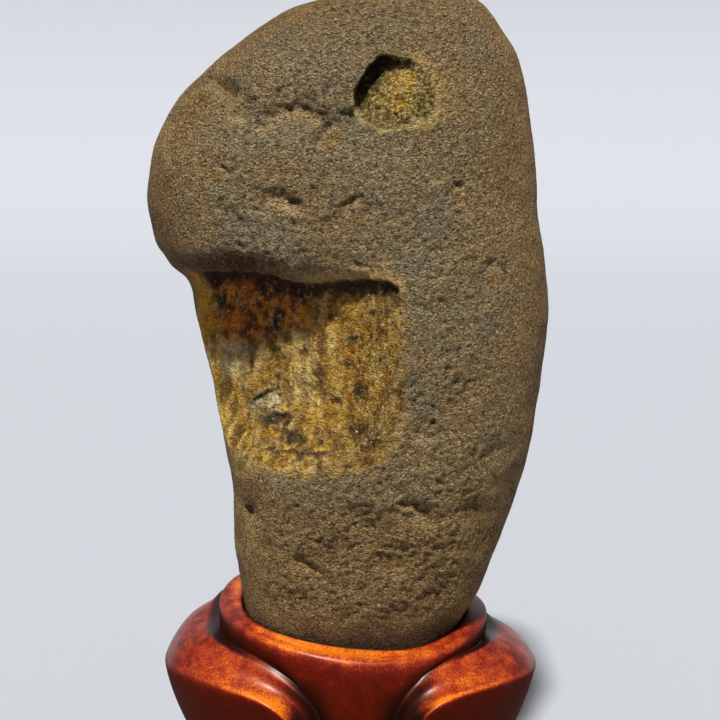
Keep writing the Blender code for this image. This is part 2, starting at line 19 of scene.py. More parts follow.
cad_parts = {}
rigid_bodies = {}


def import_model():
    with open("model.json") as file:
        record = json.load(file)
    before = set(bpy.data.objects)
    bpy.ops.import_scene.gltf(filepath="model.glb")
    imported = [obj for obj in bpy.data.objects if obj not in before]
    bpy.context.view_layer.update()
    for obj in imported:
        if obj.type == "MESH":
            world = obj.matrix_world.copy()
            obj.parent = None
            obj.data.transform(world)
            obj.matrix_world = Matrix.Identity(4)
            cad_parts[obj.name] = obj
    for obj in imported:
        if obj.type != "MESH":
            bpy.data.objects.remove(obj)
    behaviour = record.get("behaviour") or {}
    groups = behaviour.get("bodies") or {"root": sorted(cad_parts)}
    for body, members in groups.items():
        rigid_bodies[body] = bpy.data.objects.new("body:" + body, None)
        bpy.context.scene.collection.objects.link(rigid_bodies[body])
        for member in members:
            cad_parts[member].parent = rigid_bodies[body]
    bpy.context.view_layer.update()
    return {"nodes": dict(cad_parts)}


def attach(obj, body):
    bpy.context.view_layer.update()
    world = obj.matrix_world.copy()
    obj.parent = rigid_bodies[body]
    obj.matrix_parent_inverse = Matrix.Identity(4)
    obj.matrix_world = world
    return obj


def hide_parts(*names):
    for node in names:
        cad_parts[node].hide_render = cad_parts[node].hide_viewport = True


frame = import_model()
MM = 0.001

# %% [markdown]
# ## Camera
# A close view, a little above the stone's middle and looking ten degrees down, so that the top of
# the collar shows. The lens is a short telephoto, because a wide lens this close would swell the
# nearest parts of the stone.

# %% Camera
CAMERA_DISTANCE = 0.270
CAMERA_TILT = math.radians(10.0)
CAMERA_LENS = 67.5
AIM = Vector((0.002, 0.0, 0.090))

camera = bpy.data.objects.new("camera", bpy.data.cameras.new("camera"))
bpy.context.scene.collection.objects.link(camera)
camera.data.lens = CAMERA_LENS
camera.data.sensor_width = 36.0
camera.data.clip_start = 0.01
camera.location = AIM + CAMERA_DISTANCE * Vector((0.0, -math.cos(CAMERA_TILT), math.sin(CAMERA_TILT)))
camera.rotation_euler = (math.pi / 2.0 - CAMERA_TILT, 0.0, 0.0)
bpy.context.scene.camera = camera
print("camera stands", round(camera.location.z, 3), "m above the floor")

# %% [markdown]
# ## Floor and light
# Stone shows its pits only when light rakes over it, so the main lamp stands high in front and a
# little to the left, and it is small enough to draw the shadow under the ledge. The pale room round
# the piece fills the shadows and gives the lacquer something to mirror. Operators act on all that
# is selected, so two helpers come first that select one object, or the edges that pass a test.

# %% Selecting
def activate(item):
    """Makes one object, or none, the selected one: an operator acts on all that is selected."""
    for other in bpy.context.view_layer.objects:
        other.select_set(other is item)
    bpy.context.view_layer.objects.active = item


def select_edges(item, test):
    """Opens an object for editing with only the edges selected whose two ends pass a test."""
    activate(item)
    bpy.ops.object.mode_set(mode="EDIT")
    bpy.ops.mesh.select_mode(type="EDGE")
    bpy.ops.mesh.select_all(action="DESELECT")
    bpy.ops.object.mode_set(mode="OBJECT")
    for edge in item.data.edges:
        edge.select = all(test(item.data.vertices[end].co) for end in edge.vertices)
    bpy.ops.object.mode_set(mode="EDIT")


activate(None)
print("selected now:", len(bpy.context.selected_objects))

# %% Floor and wall
FLOOR_HALF = 2.5
FLOOR_COLOUR = (0.318, 0.33, 0.355)
FLOOR_ROUGHNESS = 0.9
WALL_BEHIND = 1.6
WALL_HEIGHT = 2.5
SWEEP_RADIUS = 0.6
SWEEP_STEPS = 16
NEAR_ENOUGH = 0.01


def plain_material(name, colour, roughness):
    made = bpy.data.materials.new(name)
    made.use_nodes = True
    shader = made.node_tree.nodes["Principled BSDF"]
    shader.inputs["Base Color"].default_value = (*colour, 1.0)
    shader.inputs["Roughness"].default_value = roughness
    return made


bpy.ops.mesh.primitive_plane_add(size=2.0 * FLOOR_HALF,
                                 location=(0.0, WALL_BEHIND - FLOOR_HALF, 0.0))
floor = bpy.context.active_object
floor.name = "floor"
floor.data.materials.append(plain_material("pale_floor", FLOOR_COLOUR, FLOOR_ROUGHNESS))
activate(floor)
bpy.ops.object.transform_apply(location=True, rotation=True, scale=True)
select_edges(floor, lambda end: end.y > WALL_BEHIND - NEAR_ENOUGH)
bpy.ops.mesh.extrude_region_move(TRANSFORM_OT_translate={"value": (0.0, 0.0, WALL_HEIGHT)})
bpy.ops.object.mode_set(mode="OBJECT")
select_edges(floor, lambda end: end.y > WALL_BEHIND - NEAR_ENOUGH and end.z < NEAR_ENOUGH)
bpy.ops.mesh.bevel(offset=SWEEP_RADIUS, segments=SWEEP_STEPS)
bpy.ops.object.mode_set(mode="OBJECT")
bpy.ops.object.shade_smooth()
print("floor and wall:", len(floor.data.vertices), "points")

# %% Lamp and room
KEY_HEIGHT = math.radians(62.0)
KEY_TURN = math.radians(-10.0)
KEY_STRENGTH = 6.0
KEY_WIDTH = math.radians(4.5)
ROOM_COLOUR = (0.92, 0.85, 0.76, 1.0)
ROOM_STRENGTH = 0.30

key = bpy.data.objects.new("key", bpy.data.lights.new("key", "SUN"))
bpy.context.scene.collection.objects.link(key)
key.data.energy = KEY_STRENGTH
key.data.angle = KEY_WIDTH
key.rotation_euler = (math.pi / 2.0 - KEY_HEIGHT, 0.0, KEY_TURN)
room = bpy.data.worlds.new("pale_room")
room.use_nodes = True
glow = room.node_tree.nodes["Background"]
glow.inputs["Color"].default_value = ROOM_COLOUR
glow.inputs["Strength"].default_value = ROOM_STRENGTH
bpy.context.scene.world = room
bpy.context.scene.view_settings.view_transform = "Standard"
print("the key lamp stands", round(math.degrees(KEY_HEIGHT)), "degrees high")

# %% [markdown]
# ## Helpers for shaping
# A stone has no straight edges to extrude, so most of its making is moving the points of a fine
# skin in code, the way a sculptor's brush does. These helpers read and write all points of a mesh
# at once, soften a field over the skin and measure where it stands out or lies deep. The last ones
# draw the soft steps, ovals and lines that every later form and colour is made of.

# %% Reading and moving points
def apply_modifier(item, kind, **settings):
    """Adds a modifier, sets it and applies it, as one step of the making."""
    activate(item)
    modifier = item.modifiers.new(kind.lower(), kind)
    for name, value in settings.items():
        setattr(modifier, name, value)
    bpy.ops.object.modifier_apply(modifier=modifier.name)


def points_of(mesh):
    """All points of a mesh, in millimetres."""
    flat = np.empty(len(mesh.vertices) * 3)
    mesh.vertices.foreach_get("co", flat)
    return flat.reshape(-1, 3) / MM


def place_points(mesh, points):
    mesh.vertices.foreach_set("co", (points * MM).ravel())
    mesh.update()


def normals_of(mesh):
    flat = np.empty(len(mesh.vertices) * 3)
    mesh.vertex_normals.foreach_get("vector", flat)
    return flat.reshape(-1, 3)


def edges_of(mesh):
    flat = np.empty(len(mesh.edges) * 2, dtype=np.int64)
    mesh.edges.foreach_get("vertices", flat)
    return flat.reshape(-1, 2)


print("the packed stone has", len(points_of(frame["nodes"]["stone"].data)), "loose points")

# %% Softening and measuring
def softened(values, edges, passes):
    """Each value pulled halfway to the mean of its neighbours, as many times as asked."""
    values = np.array(values, float)
    columns = values.reshape(len(values), -1)
    ends = np.concatenate((edges[:, 0], edges[:, 1]))
    others = np.concatenate((edges[:, 1], edges[:, 0]))
    count = np.maximum(np.bincount(ends, minlength=len(columns)), 1)
    for _ in range(passes):
        for axis in range(columns.shape[1]):
            total = np.bincount(ends, weights=columns[others, axis], minlength=len(columns))
            columns[:, axis] = 0.5 * columns[:, axis] + 0.5 * total / count
    return columns.reshape(values.shape)


def standing_out(mesh, passes):
    """How far each point stands out of the softened skin, in millimetres: edges +, pits -."""
    points = points_of(mesh)
    return ((points - softened(points, edges_of(mesh), passes)) * normals_of(mesh)).sum(axis=1)


def keep_attribute(mesh, name, values):
    made = mesh.attributes.get(name) or mesh.attributes.new(name, "FLOAT", "POINT")
    made.data.foreach_set("value", np.asarray(values, np.float32))


two_edges = np.array(((0, 1), (1, 2)))
print("a peak of 1 between zeros softens to", softened((0.0, 1.0, 0.0), two_edges, 1)[1])

# %% Curves, patches and unevenness
def step_between(low, high, value):
    """0 at low and 1 at high, with a soft passage; low may be the larger."""
    t = np.clip((value - low) / (high - low), 0.0, 1.0)
    return t * t * (3.0 - 2.0 * t)


def smooth_table(at, places, values):
    """Values between the rows of a table, on a curve that doesn't overshoot them."""
    places = np.asarray(places, float)
    values = np.asarray(values, float)
    steps = np.diff(places)
    slopes = np.diff(values) / steps
    tangents = np.zeros_like(values)
    tangents[0] = slopes[0]
    tangents[-1] = slopes[-1]
    for row in range(1, len(values) - 1):
        before, after = slopes[row - 1], slopes[row]
        if before * after > 0.0:
            near = 2.0 * steps[row] + steps[row - 1]
            far = steps[row] + 2.0 * steps[row - 1]
            tangents[row] = (near + far) / (near / before + far / after)
    at = np.clip(np.asarray(at, float), places[0], places[-1])
    row = np.clip(np.searchsorted(places, at) - 1, 0, len(steps) - 1)
    t = (at - places[row]) / steps[row]
    return ((2 * t**3 - 3 * t**2 + 1) * values[row]
            + (t**3 - 2 * t**2 + t) * steps[row] * tangents[row]
            + (3 * t**2 - 2 * t**3) * values[row + 1]
            + (t**3 - t**2) * steps[row] * tangents[row + 1])


def spot(x, z, middle_x, middle_z, half_length, half_height, turn=0.0):
    """1 in the middle of an oval patch, falling softly to 0 outside it."""
    turn = math.radians(turn)
    along = (x - middle_x) * math.cos(turn) + (z - middle_z) * math.sin(turn)
    across = (z - middle_z) * math.cos(turn) - (x - middle_x) * math.sin(turn)
    return np.exp(-(along / half_length) ** 2 - (across / half_height) ** 2)


def distance_to_path(x, z, path):
    """Distance from each point to a line of straight runs, seen from the front."""
    nearest = np.full(x.shape, 1e6)
    for (x0, z0), (x1, z1) in zip(path[:-1], path[1:]):
        run = (x1 - x0) ** 2 + (z1 - z0) ** 2
        share = np.clip(((x - x0) * (x1 - x0) + (z - z0) * (z1 - z0)) / run, 0.0, 1.0)
        gap = np.hypot(x - x0 - share * (x1 - x0), z - z0 - share * (z1 - z0))
        nearest = np.minimum(nearest, gap)
    return nearest


def rough(points, size, octaves=3, offset=0.0, stretch=(1.0, 1.0, 1.0)):
    """Seeded unevenness between about -1 and 1; size is one swelling's width in millimetres."""
    moved = points / (np.array(stretch) * size) + offset
    return np.array([noise.fractal(Vector(point), 1.0, 2.0, octaves) for point in moved])


print("a quarter of the way up a step:", round(float(step_between(0.0, 1.0, 0.25)), 3))

# %% [markdown]
# ## The cobble before it broke
# A river rolls a cobble into a loose round form with no flat or straight part. It could be sculpted
# from a ball by hand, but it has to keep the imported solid's form to the millimetre. So it is made as
# a stack of horizontal sections: a table gives how far the stone reaches left, right, forwards and
# back at a height, and a smooth curve runs through the rows. A UV sphere already has its points in
# rings and columns, so each ring is moved onto a section.

# %% The cobble's sections
# height, left edge, right edge, front edge, back edge, line that the section is centred on
COBBLE_SECTIONS = np.array((
    (25.6, -15.0, 16.6, -10.6, 11.6, 1.4),
    (27.5, -18.2, 19.4, -13.2, 14.2, 1.4),
    (31.0, -19.8, 20.9, -15.0, 16.0, 1.4),
    (36.0, -21.0, 22.4, -16.2, 17.2, 1.6),
    (45.0, -22.4, 27.1, -18.8, 19.4, 2.4),
    (54.0, -23.6, 30.7, -20.9, 20.8, 3.2),
    (63.0, -23.6, 33.7, -22.4, 21.8, 4.0),
    (72.0, -24.7, 35.9, -23.0, 22.6, 4.4),
    (81.0, -26.5, 37.0, -23.4, 23.2, 4.0),
    (90.0, -28.1, 38.0, -23.6, 23.6, 3.4),
    (100.0, -30.9, 38.6, -23.6, 23.8, 2.6),
    (106.0, -32.7, 38.4, -23.4, 23.8, 2.0),
    (109.0, -35.8, 38.3, -23.2, 23.8, 1.6),
    (114.0, -37.5, 37.7, -23.0, 23.6, 1.0),
    (122.5, -38.7, 36.5, -22.6, 23.2, 0.4),
    (131.0, -38.3, 36.0, -22.0, 22.4, 0.8),
    (138.5, -34.8, 35.1, -21.0, 21.2, 2.2),
    (146.5, -27.6, 33.4, -18.8, 19.2, 4.6),
    (154.5, -17.3, 29.5, -14.8, 15.2, 7.6),
    (160.0, -6.0, 24.6, -9.4, 9.8, 9.4),
    (163.2, 9.4, 9.6, -0.1, 0.1, 9.5),
))
SQUARENESS = 2.45
SPHERE_COLUMNS = 240
SPHERE_ROWS = 190
# the rings lie closer together at the crown and the foot: the even share and the gathered share
RING_SPREAD = (0.55, 0.225)


def section_reach(height):
    """Left, right, front, back and centre line of the uncut cobble at each height."""
    heights, *columns = COBBLE_SECTIONS.T
    return [smooth_table(height, heights, column) for column in columns]


def section(height, turn):
    """Points of the uncut cobble; turn 0 is to the right, a quarter turn is the back."""
    left, right, front, back, centre = section_reach(height)
    across, along = np.cos(turn), np.sin(turn)
    half_width = np.where(across > 0.0, right - centre, centre - left)
    half_depth = np.where(along > 0.0, back, -front)
    x = centre + half_width * np.sign(across) * np.abs(across) ** (2.0 / SQUARENESS)
    y = half_depth * np.sign(along) * np.abs(along) ** (2.0 / SQUARENESS)
    return np.stack([x, y, height], axis=-1)


def share_of_reach(points):
    """Where a point lies from the cobble's middle line (0) to its old skin (1), and how far aside."""
    left, right, front, back, centre = section_reach(points[:, 2])
    half_width = np.maximum(np.where(points[:, 0] > centre, right - centre, centre - left), 0.1)
    half_depth = np.maximum(np.where(points[:, 1] > 0.0, back, -front), 0.1)
    side = (points[:, 0] - centre) / half_width
    ahead = points[:, 1] / half_depth
    return (np.abs(side) ** SQUARENESS + np.abs(ahead) ** SQUARENESS) ** (1.0 / SQUARENESS), side


print("section at 100 mm:", np.round(section_reach(np.array([100.0])), 1).ravel())

# %% A ball drawn onto the sections
activate(None)
bpy.ops.mesh.primitive_uv_sphere_add(segments=SPHERE_COLUMNS, ring_count=SPHERE_ROWS, radius=1.0,
                                     calc_uvs=False)
stone = bpy.context.active_object
stone.name = "scholars_stone"
ball = points_of(stone.data) * MM
rise = np.arccos(np.clip(-ball[:, 2], -1.0, 1.0)) / math.pi
foot_height, crown_height = COBBLE_SECTIONS[0, 0], COBBLE_SECTIONS[-1, 0]
spread = RING_SPREAD[0] * rise + RING_SPREAD[1] * (1.0 - np.cos(math.pi * rise))
heights = foot_height + (crown_height - foot_height) * spread
place_points(stone.data, section(heights, np.arctan2(ball[:, 1], ball[:, 0])))
print("cobble:", len(stone.data.vertices), "points")

# %% [markdown]
# ## What the river left on it
# Broad swells, a crease across the brow and two dozen old chips, most of them in front, give the
# stone its look from a step away. They could be brushed on by hand, but then none could be moved
# without touching the others. So each one is a soft oval or a soft line in a list, which pushes the
# skin in or out along its normal.

# %% Swells, crease and chips
# broad forms: x, height, half width, half height, how far they stand out
SWELLS = (
    (-22.0, 126.0, 13.0, 11.0, 1.5),
    (-12.0, 147.0, 10.0, 6.0, 0.9),
    (24.0, 132.0, 12.0, 22.0, -0.8),
    (-10.0, 69.0, 14.0, 5.0, 0.9),
    (22.0, 92.0, 12.0, 16.0, 0.6),
    (26.0, 60.0, 9.0, 12.0, -0.8),
    (2.0, 56.0, 12.0, 9.0, -0.5),
)
CREASE = ((-29.0, 145.6), (-24.0, 144.1), (-19.5, 141.4), (-17.0, 137.2), (-13.2, 138.0),
          (-8.9, 138.8), (-5.3, 137.4), (-3.9, 135.6), (0.9, 138.5))
CREASE_DEPTH = 1.0
CREASE_HALF_WIDTH = 1.5
CREASE_BANK = 4.2
CREASE_BANK_DEPTH = 1.1
CREASE_FADES = (-26.0, -17.0)
CREASE_LEAST = 0.25
SPUR = ((-3.9, 135.8), (-6.4, 133.0))
SPUR_DEPTH = 0.7
# chips and dents: x, height, half length, half height, turn in degrees, depth
FRONT_CHIPS = (
    (-23.2, 144.0, 3.2, 1.3, -25.0, 1.5),
    (-22.8, 127.3, 3.4, 1.5, -30.0, 0.9),
    (-11.5, 122.6, 3.8, 1.3, -12.0, 1.2),
    (0.2, 120.6, 4.0, 1.4, 22.0, 0.9),
    (20.4, 124.2, 2.4, 1.8, 20.0, 0.9),
    (27.0, 109.4, 3.4, 2.2, 15.0, 0.9),
    (17.0, 104.0, 3.0, 1.6, -35.0, 0.5),
    (20.0, 86.0, 5.0, 2.6, 25.0, 0.7),
    (26.5, 75.0, 4.2, 2.0, 20.0, 0.7),
    (13.6, 63.6, 4.6, 2.0, -8.0, 1.1),
    (3.6, 62.0, 3.4, 2.0, 18.0, 0.8),
    (24.0, 64.0, 4.4, 2.2, -30.0, 0.8),
    (-7.6, 52.4, 4.0, 1.5, -38.0, 0.8),
    (9.0, 54.4, 5.2, 2.2, 10.0, 0.7),
    (-19.6, 62.8, 1.5, 1.5, 0.0, 0.7),
    (16.5, 47.5, 3.4, 1.6, 15.0, 0.5),
)
BACK_CHIPS = (
    (-20.0, 129.0, 5.0, 2.2, 20.0, 0.9),
    (12.0, 138.0, 4.0, 1.8, -15.0, 0.8),
    (22.0, 108.0, 6.0, 2.4, 35.0, 0.9),
    (-6.0, 112.0, 3.2, 2.6, 0.0, 0.7),
    (6.0, 88.0, 7.0, 2.4, -22.0, 0.9),
    (-14.0, 78.0, 3.4, 1.8, 30.0, 0.8),
    (20.0, 70.0, 4.2, 2.0, 10.0, 0.8),
    (-4.0, 58.0, 5.0, 2.0, -12.0, 0.7),
)
# slow swellings all over: width, height
ROLLS = ((15.0, 0.75), (6.5, 0.32))
# the lip of the break, where the nose rolls in towards its underside: x, height
LIP_LINE = ((-46.0, 108.2), (-32.0, 108.4), (-27.0, 108.9), (-20.6, 109.4), (-15.0, 109.0),
            (-12.0, 108.1), (-9.0, 107.5), (-6.0, 107.5), (-3.0, 108.0), (0.0, 108.5),
            (4.0, 108.7), (7.0, 108.4), (9.4, 106.9))
LIP_ROLL = 4.0
LIP_ROLL_HEIGHT = 8.0
LIP_ROLL_FADES = (9.0, -6.0)
# the foot in the socket stays plain, and the relief comes in above it
RELIEF_FROM = (42.0, 48.0)
# where the skin begins to count as the front, from back to front
FRONT_FROM = (4.0, -6.0)
print(len(SWELLS), "swells,", len(FRONT_CHIPS) + len(BACK_CHIPS), "chips")

# %% The relief of the skin
def along_line(x, line):
    """Height of a line drawn on the front, at each x."""
    return smooth_table(x, [place for place, _ in line], [height for _, height in line])


def facing_front(points):
    return step_between(*FRONT_FROM, points[:, 1])


def relief(points):
    """How far the skin stands out from the plain cobble, point by point."""
    x, z = points[:, 0], points[:, 2]
    front = facing_front(points)
    height = np.zeros(len(points))
    for *oval, swell in SWELLS:
        height += front * swell * spot(x, z, *oval)
    crease = distance_to_path(x, z, CREASE)
    held = front * (CREASE_LEAST + (1.0 - CREASE_LEAST) * step_between(*CREASE_FADES, x))
    height -= held * CREASE_DEPTH * np.exp(-(crease / CREASE_HALF_WIDTH) ** 2)
    height -= held * CREASE_BANK_DEPTH * np.exp(-(crease / CREASE_BANK) ** 2)
    height -= front * SPUR_DEPTH * np.exp(-(distance_to_path(x, z, SPUR) / CREASE_HALF_WIDTH) ** 2)
    for chips, side in ((FRONT_CHIPS, front), (BACK_CHIPS, 1.0 - front)):
        for *oval, depth in chips:
            height -= side * depth * spot(x, z, *oval)
    over_lip = z - along_line(x, LIP_LINE)
    rolled = np.where(over_lip > 0.0, np.clip(1.0 - over_lip / LIP_ROLL_HEIGHT, 0.0, 1.0) ** 3,
                      np.exp(-(over_lip / LIP_ROLL_HEIGHT) ** 2))
    height -= front * LIP_ROLL * rolled * step_between(*LIP_ROLL_FADES, x)
    for size, roll in ROLLS:
        height += roll * np.array([noise.noise(Vector(point) / size) for point in points])
    return height * step_between(*RELIEF_FROM, z)


skin = points_of(stone.data)
pushed = relief(skin)
place_points(stone.data, skin + normals_of(stone.data) * pushed[:, None])
print("relief from", round(pushed.min(), 2), "to", round(pushed.max(), 2), "mm")

# %% [markdown]
# ## The slab that split off
# The break is one flat cleavage that slants in from the front right, with a curled-out foot, under
# a lip of the old skin. It is cut with a Boolean, because a Boolean leaves the sharp overhanging
# lip that no push along the normals can make. The cutter has the shape of the lost slab: a grid is
# laid on the split face and extruded forwards, clear of the stone.

# %% The break
TOE_LINE = ((-46.0, 66.0), (-26.0, 69.5), (-17.0, 73.0), (-9.0, 73.0), (0.0, 74.0), (5.5, 76.0),
            (8.2, 80.0), (9.4, 86.0))
BREAK_LEFT = -46.0
BREAK_RIGHT = 9.4
SPLIT_AT = (-27.0, -5.4)
SPLIT_SLOPE = -0.48
SPLIT_RAMP = 15.0
SPLIT_RAMP_REACH = 7.5
BREAK_COLUMNS = 70
BREAK_ROWS = 50
CLEAR_IN_FRONT = -45.0


def split_face(x, z):
    """Depth (y) of the split: a slanting plane that curls out at its foot."""
    curl = 1.0 - np.clip((z - along_line(x, TOE_LINE)) / SPLIT_RAMP, 0.0, 1.0)
    return SPLIT_AT[1] + SPLIT_SLOPE * (x - SPLIT_AT[0]) - SPLIT_RAMP_REACH * curl**2


def cut_away(item, cutter):
    """Turns a cutter's faces outwards, subtracts it and throws it away."""
    activate(cutter)
    bpy.ops.object.mode_set(mode="EDIT")
    bpy.ops.mesh.select_all(action="SELECT")
    bpy.ops.mesh.normals_make_consistent(inside=False)
    bpy.ops.object.mode_set(mode="OBJECT")
    apply_modifier(item, "BOOLEAN", operation="DIFFERENCE", solver="EXACT", object=cutter)
    bpy.data.objects.remove(cutter, do_unlink=True)


print("lip at the break's right end:", round(float(along_line(BREAK_RIGHT, LIP_LINE)), 1), "mm up")

# %% Cutting the break
activate(None)
bpy.ops.mesh.primitive_grid_add(x_subdivisions=BREAK_COLUMNS, y_subdivisions=BREAK_ROWS, size=1.0)
slab = bpy.context.active_object
slab.name = "lost_slab"
sheet = points_of(slab.data) * MM + 0.5
slab_x = BREAK_LEFT + (BREAK_RIGHT - BREAK_LEFT) * sheet[:, 0]
slab_foot = along_line(slab_x, TOE_LINE)
slab_z = slab_foot + (along_line(slab_x, LIP_LINE) - slab_foot) * sheet[:, 1]
place_points(slab.data, np.stack([slab_x, split_face(slab_x, slab_z), slab_z], axis=-1))
bpy.ops.object.mode_set(mode="EDIT")
bpy.ops.mesh.select_all(action="SELECT")
bpy.ops.mesh.extrude_region_move(TRANSFORM_OT_translate={"value": (0.0, -0.02, 0.0)})
bpy.ops.transform.resize(value=(1.0, 0.0, 1.0), center_override=(0.0, CLEAR_IN_FRONT * MM, 0.0))
bpy.ops.object.mode_set(mode="OBJECT")
cut_away(stone, slab)
print("stone after the break:", len(stone.data.vertices), "points")

# %% [markdown]
# ## The hollow in the brow
# A softer lump weathered out of the brow and left a pocket that is deepest under its upper left
# edge. A dent pushed along the normals couldn't run in under that edge, so this is a cut too. Its
# cutter starts as a circle that is extruded into a short tube of rings. Each ring is then drawn to
# the rim's outline at its own size and depth, so the pocket narrows inwards.

# %% The hollow
HOLLOW_RIM = ((1.0, 141.4), (2.2, 144.6), (4.0, 147.0), (6.0, 148.9), (8.0, 148.5), (10.6, 148.0),
              (12.8, 146.8), (14.6, 144.4), (15.8, 141.4), (15.4, 138.6), (12.8, 137.0),
              (9.6, 135.9), (6.4, 135.7), (3.6, 136.6), (1.4, 138.8))
# the skin round the hollow: how far forward it lies, at which height, and how much it leans
HOLLOW_SKIN = (-18.3, 148.5, 0.23)
HOLLOW_DEEP_SIDE = np.array((-0.75, 0.66))
HOLLOW_SHALLOW = 0.9
HOLLOW_DEEP = 5.6
HOLLOW_OVERHANG = 1.2
HOLLOW_DEEP_FROM = (-0.15, 0.95)
HOLLOW_COLUMNS = 60
# rings from outside the skin to the middle: share of the rim's size, share of the depth
HOLLOW_RINGS = ((1.04, -3.0), (1.0, 0.0), (0.96, 0.7), (0.86, 1.0), (0.66, 0.95), (0.42, 0.8),
                (0.2, 0.7))

rim = np.array(HOLLOW_RIM)
hollow_middle = rim.mean(axis=0)
hollow_reach = np.linalg.norm(rim - hollow_middle, axis=1).mean()


def along_rim(share):
    """Points of the rim's closed outline, by share of the way round."""
    turns = np.linspace(-1.0, 2.0, 3 * len(rim), endpoint=False)
    sides = [smooth_table(share, turns, np.tile(column, 3)) for column in rim.T]
    return np.stack(sides, axis=-1)


print("the hollow is", round(2.0 * float(hollow_reach), 1), "mm wide")

# %% Cutting the hollow
activate(None)
bpy.ops.mesh.primitive_circle_add(vertices=HOLLOW_COLUMNS, radius=1.0, fill_type="NGON")
pocket = bpy.context.active_object
pocket.name = "hollow_cutter"
bpy.ops.object.mode_set(mode="EDIT")
bpy.ops.mesh.select_all(action="SELECT")
for _ in HOLLOW_RINGS[1:]:
    bpy.ops.mesh.extrude_region_move(TRANSFORM_OT_translate={"value": (0.0, 0.0, 1.0)})
bpy.ops.object.mode_set(mode="OBJECT")
tube = points_of(pocket.data) * MM
ring = np.round(tube[:, 2]).astype(int)
size, depth_share = np.array(HOLLOW_RINGS)[ring].T
outline = along_rim((np.arctan2(tube[:, 1], tube[:, 0]) / (2.0 * math.pi)) % 1.0)
place = hollow_middle + (outline - hollow_middle) * size[:, None]
deep = step_between(*HOLLOW_DEEP_FROM, (place - hollow_middle) @ HOLLOW_DEEP_SIDE / hollow_reach)
under = HOLLOW_OVERHANG * deep * np.maximum(depth_share, 0.0)
pocket_depth = depth_share * (HOLLOW_SHALLOW + (HOLLOW_DEEP - HOLLOW_SHALLOW) * deep)
pocket_y = HOLLOW_SKIN[0] - HOLLOW_SKIN[2] * (HOLLOW_SKIN[1] - place[:, 1]) + pocket_depth
place = place + under[:, None] * HOLLOW_DEEP_SIDE
place_points(pocket.data, np.stack([place[:, 0], pocket_y, place[:, 1]], axis=-1))
cut_away(stone, pocket)
print("stone after the hollow:", len(stone.data.vertices), "points")

# %% [markdown]
# ## One even skin to carve
# The cuts left long thin faces. A voxel remesh wraps the whole stone in small even squares, which
# is what a brush needs, and a little softening rounds the edges that water and hands have worn.
# The nose above the break rolls in towards its underside, and the slab broke off there without a
# sharp edge. So that stretch of the lip alone is softened hard.

# %% An even, worn skin
VOXEL = 0.4 * MM
WEAR_PASSES = 3
LIP_WEAR_PASSES = 60
LIP_WEAR_REACH = 2.5

apply_modifier(stone, "REMESH", mode="VOXEL", voxel_size=VOXEL)
skin = points_of(stone.data)
net = edges_of(stone.data)
skin = softened(skin, net, WEAR_PASSES)
lip_gap = skin[:, 2] - along_line(skin[:, 0], LIP_LINE)
lip_held = facing_front(skin) * np.exp(-(lip_gap / LIP_WEAR_REACH) ** 2)
lip_held = lip_held * step_between(*LIP_ROLL_FADES, skin[:, 0])
very_soft = softened(skin, net, LIP_WEAR_PASSES)
skin = skin + (very_soft - skin) * lip_held[:, None]
place_points(stone.data, skin)
print("even skin:", len(skin), "points")

# %% [markdown]
# ## Where the stone is broken
# Every later step treats the fresh break, the hollow and the old skin differently. They could be
# painted on by hand, but measuring them keeps them in step with the form. A point is fresh where it
# lies well below the old skin, and the outlines of the break and of the hollow say which of the two
# it belongs to.

# %% Zones of the skin
# the cobble's mean radius, which turns a share of its reach into millimetres
SKIN_SIZE = 28.0
turns = np.unwrap(np.arctan2(*(rim - hollow_middle).T[::-1])) % (2.0 * math.pi)
order = np.argsort(turns)
RIM_TURNS = turns[order]
RIM_RADII = np.linalg.norm(rim - hollow_middle, axis=1)[order]
# where the break and the hollow begin, each from outside to inside
BREAK_SIDE = (10.2, 8.6)
BREAK_LIP = (-0.8, 0.8)
BREAK_TOE = (-1.0, 1.5)
BREAK_DEPTH = (-0.2, 0.9)
HOLLOW_EDGE = (1.08, 0.97)


def zones(points):
    """Shares of the break and the hollow at each point, and the distances that they come from."""
    x, y, z = points.T
    share, side = share_of_reach(points)
    front = facing_front(points)
    below = SKIN_SIZE * (1.0 - share) + relief(points)
    under_lip = along_line(x, LIP_LINE) - z
    over_toe = z - along_line(x, TOE_LINE)
    in_break = (front * step_between(*BREAK_SIDE, x) * step_between(*BREAK_LIP, under_lip)
                * step_between(*BREAK_TOE, over_toe))
    turn = np.arctan2(z - hollow_middle[1], x - hollow_middle[0]) % (2.0 * math.pi)
    radius = np.interp(turn, RIM_TURNS, RIM_RADII, period=2.0 * math.pi)
    rim_share = np.hypot(x - hollow_middle[0], z - hollow_middle[1]) / radius
    return {
        "side": side,
        "front": front,
        "below": below,
        "under_lip": under_lip,
        "over_toe": over_toe,
        "in_break": in_break,
        "broken": in_break * step_between(*BREAK_DEPTH, below),
        "rim_turn": turn,
        "rim_share": rim_share,
        "hollowed": step_between(*HOLLOW_EDGE, rim_share) * front,
    }


zone = zones(skin)
x, y, z = skin.T
broken, hollowed = zone["broken"], zone["hollowed"]
print("share of the skin broken:", round(float(broken.mean()), 3))
print("share of the skin hollowed:", round(float(hollowed.mean()), 4))

# %% [markdown]
# ## Grain, pits and chips
# The old skin is a sandstone's: grains stand out by a tenth or two of a millimetre and small pits
# mark where some fell out. Bump alone would leave them flat against the light at the stone's edge, so
# they are pressed into the mesh. A chip is not a plain dent. The skin above it dips in and stops at
# a crisp edge, and the skin below stands proud, so under a high lamp each chip shows a dark line
# over a bright one. The larger chips are listed, and the small ones are scattered with a seed.

# %% The grain and the small marks
SEED = 20
# grain: its width and its height
GRAIN = ((5.0, 0.21), (2.2, 0.20), (1.1, 0.19))
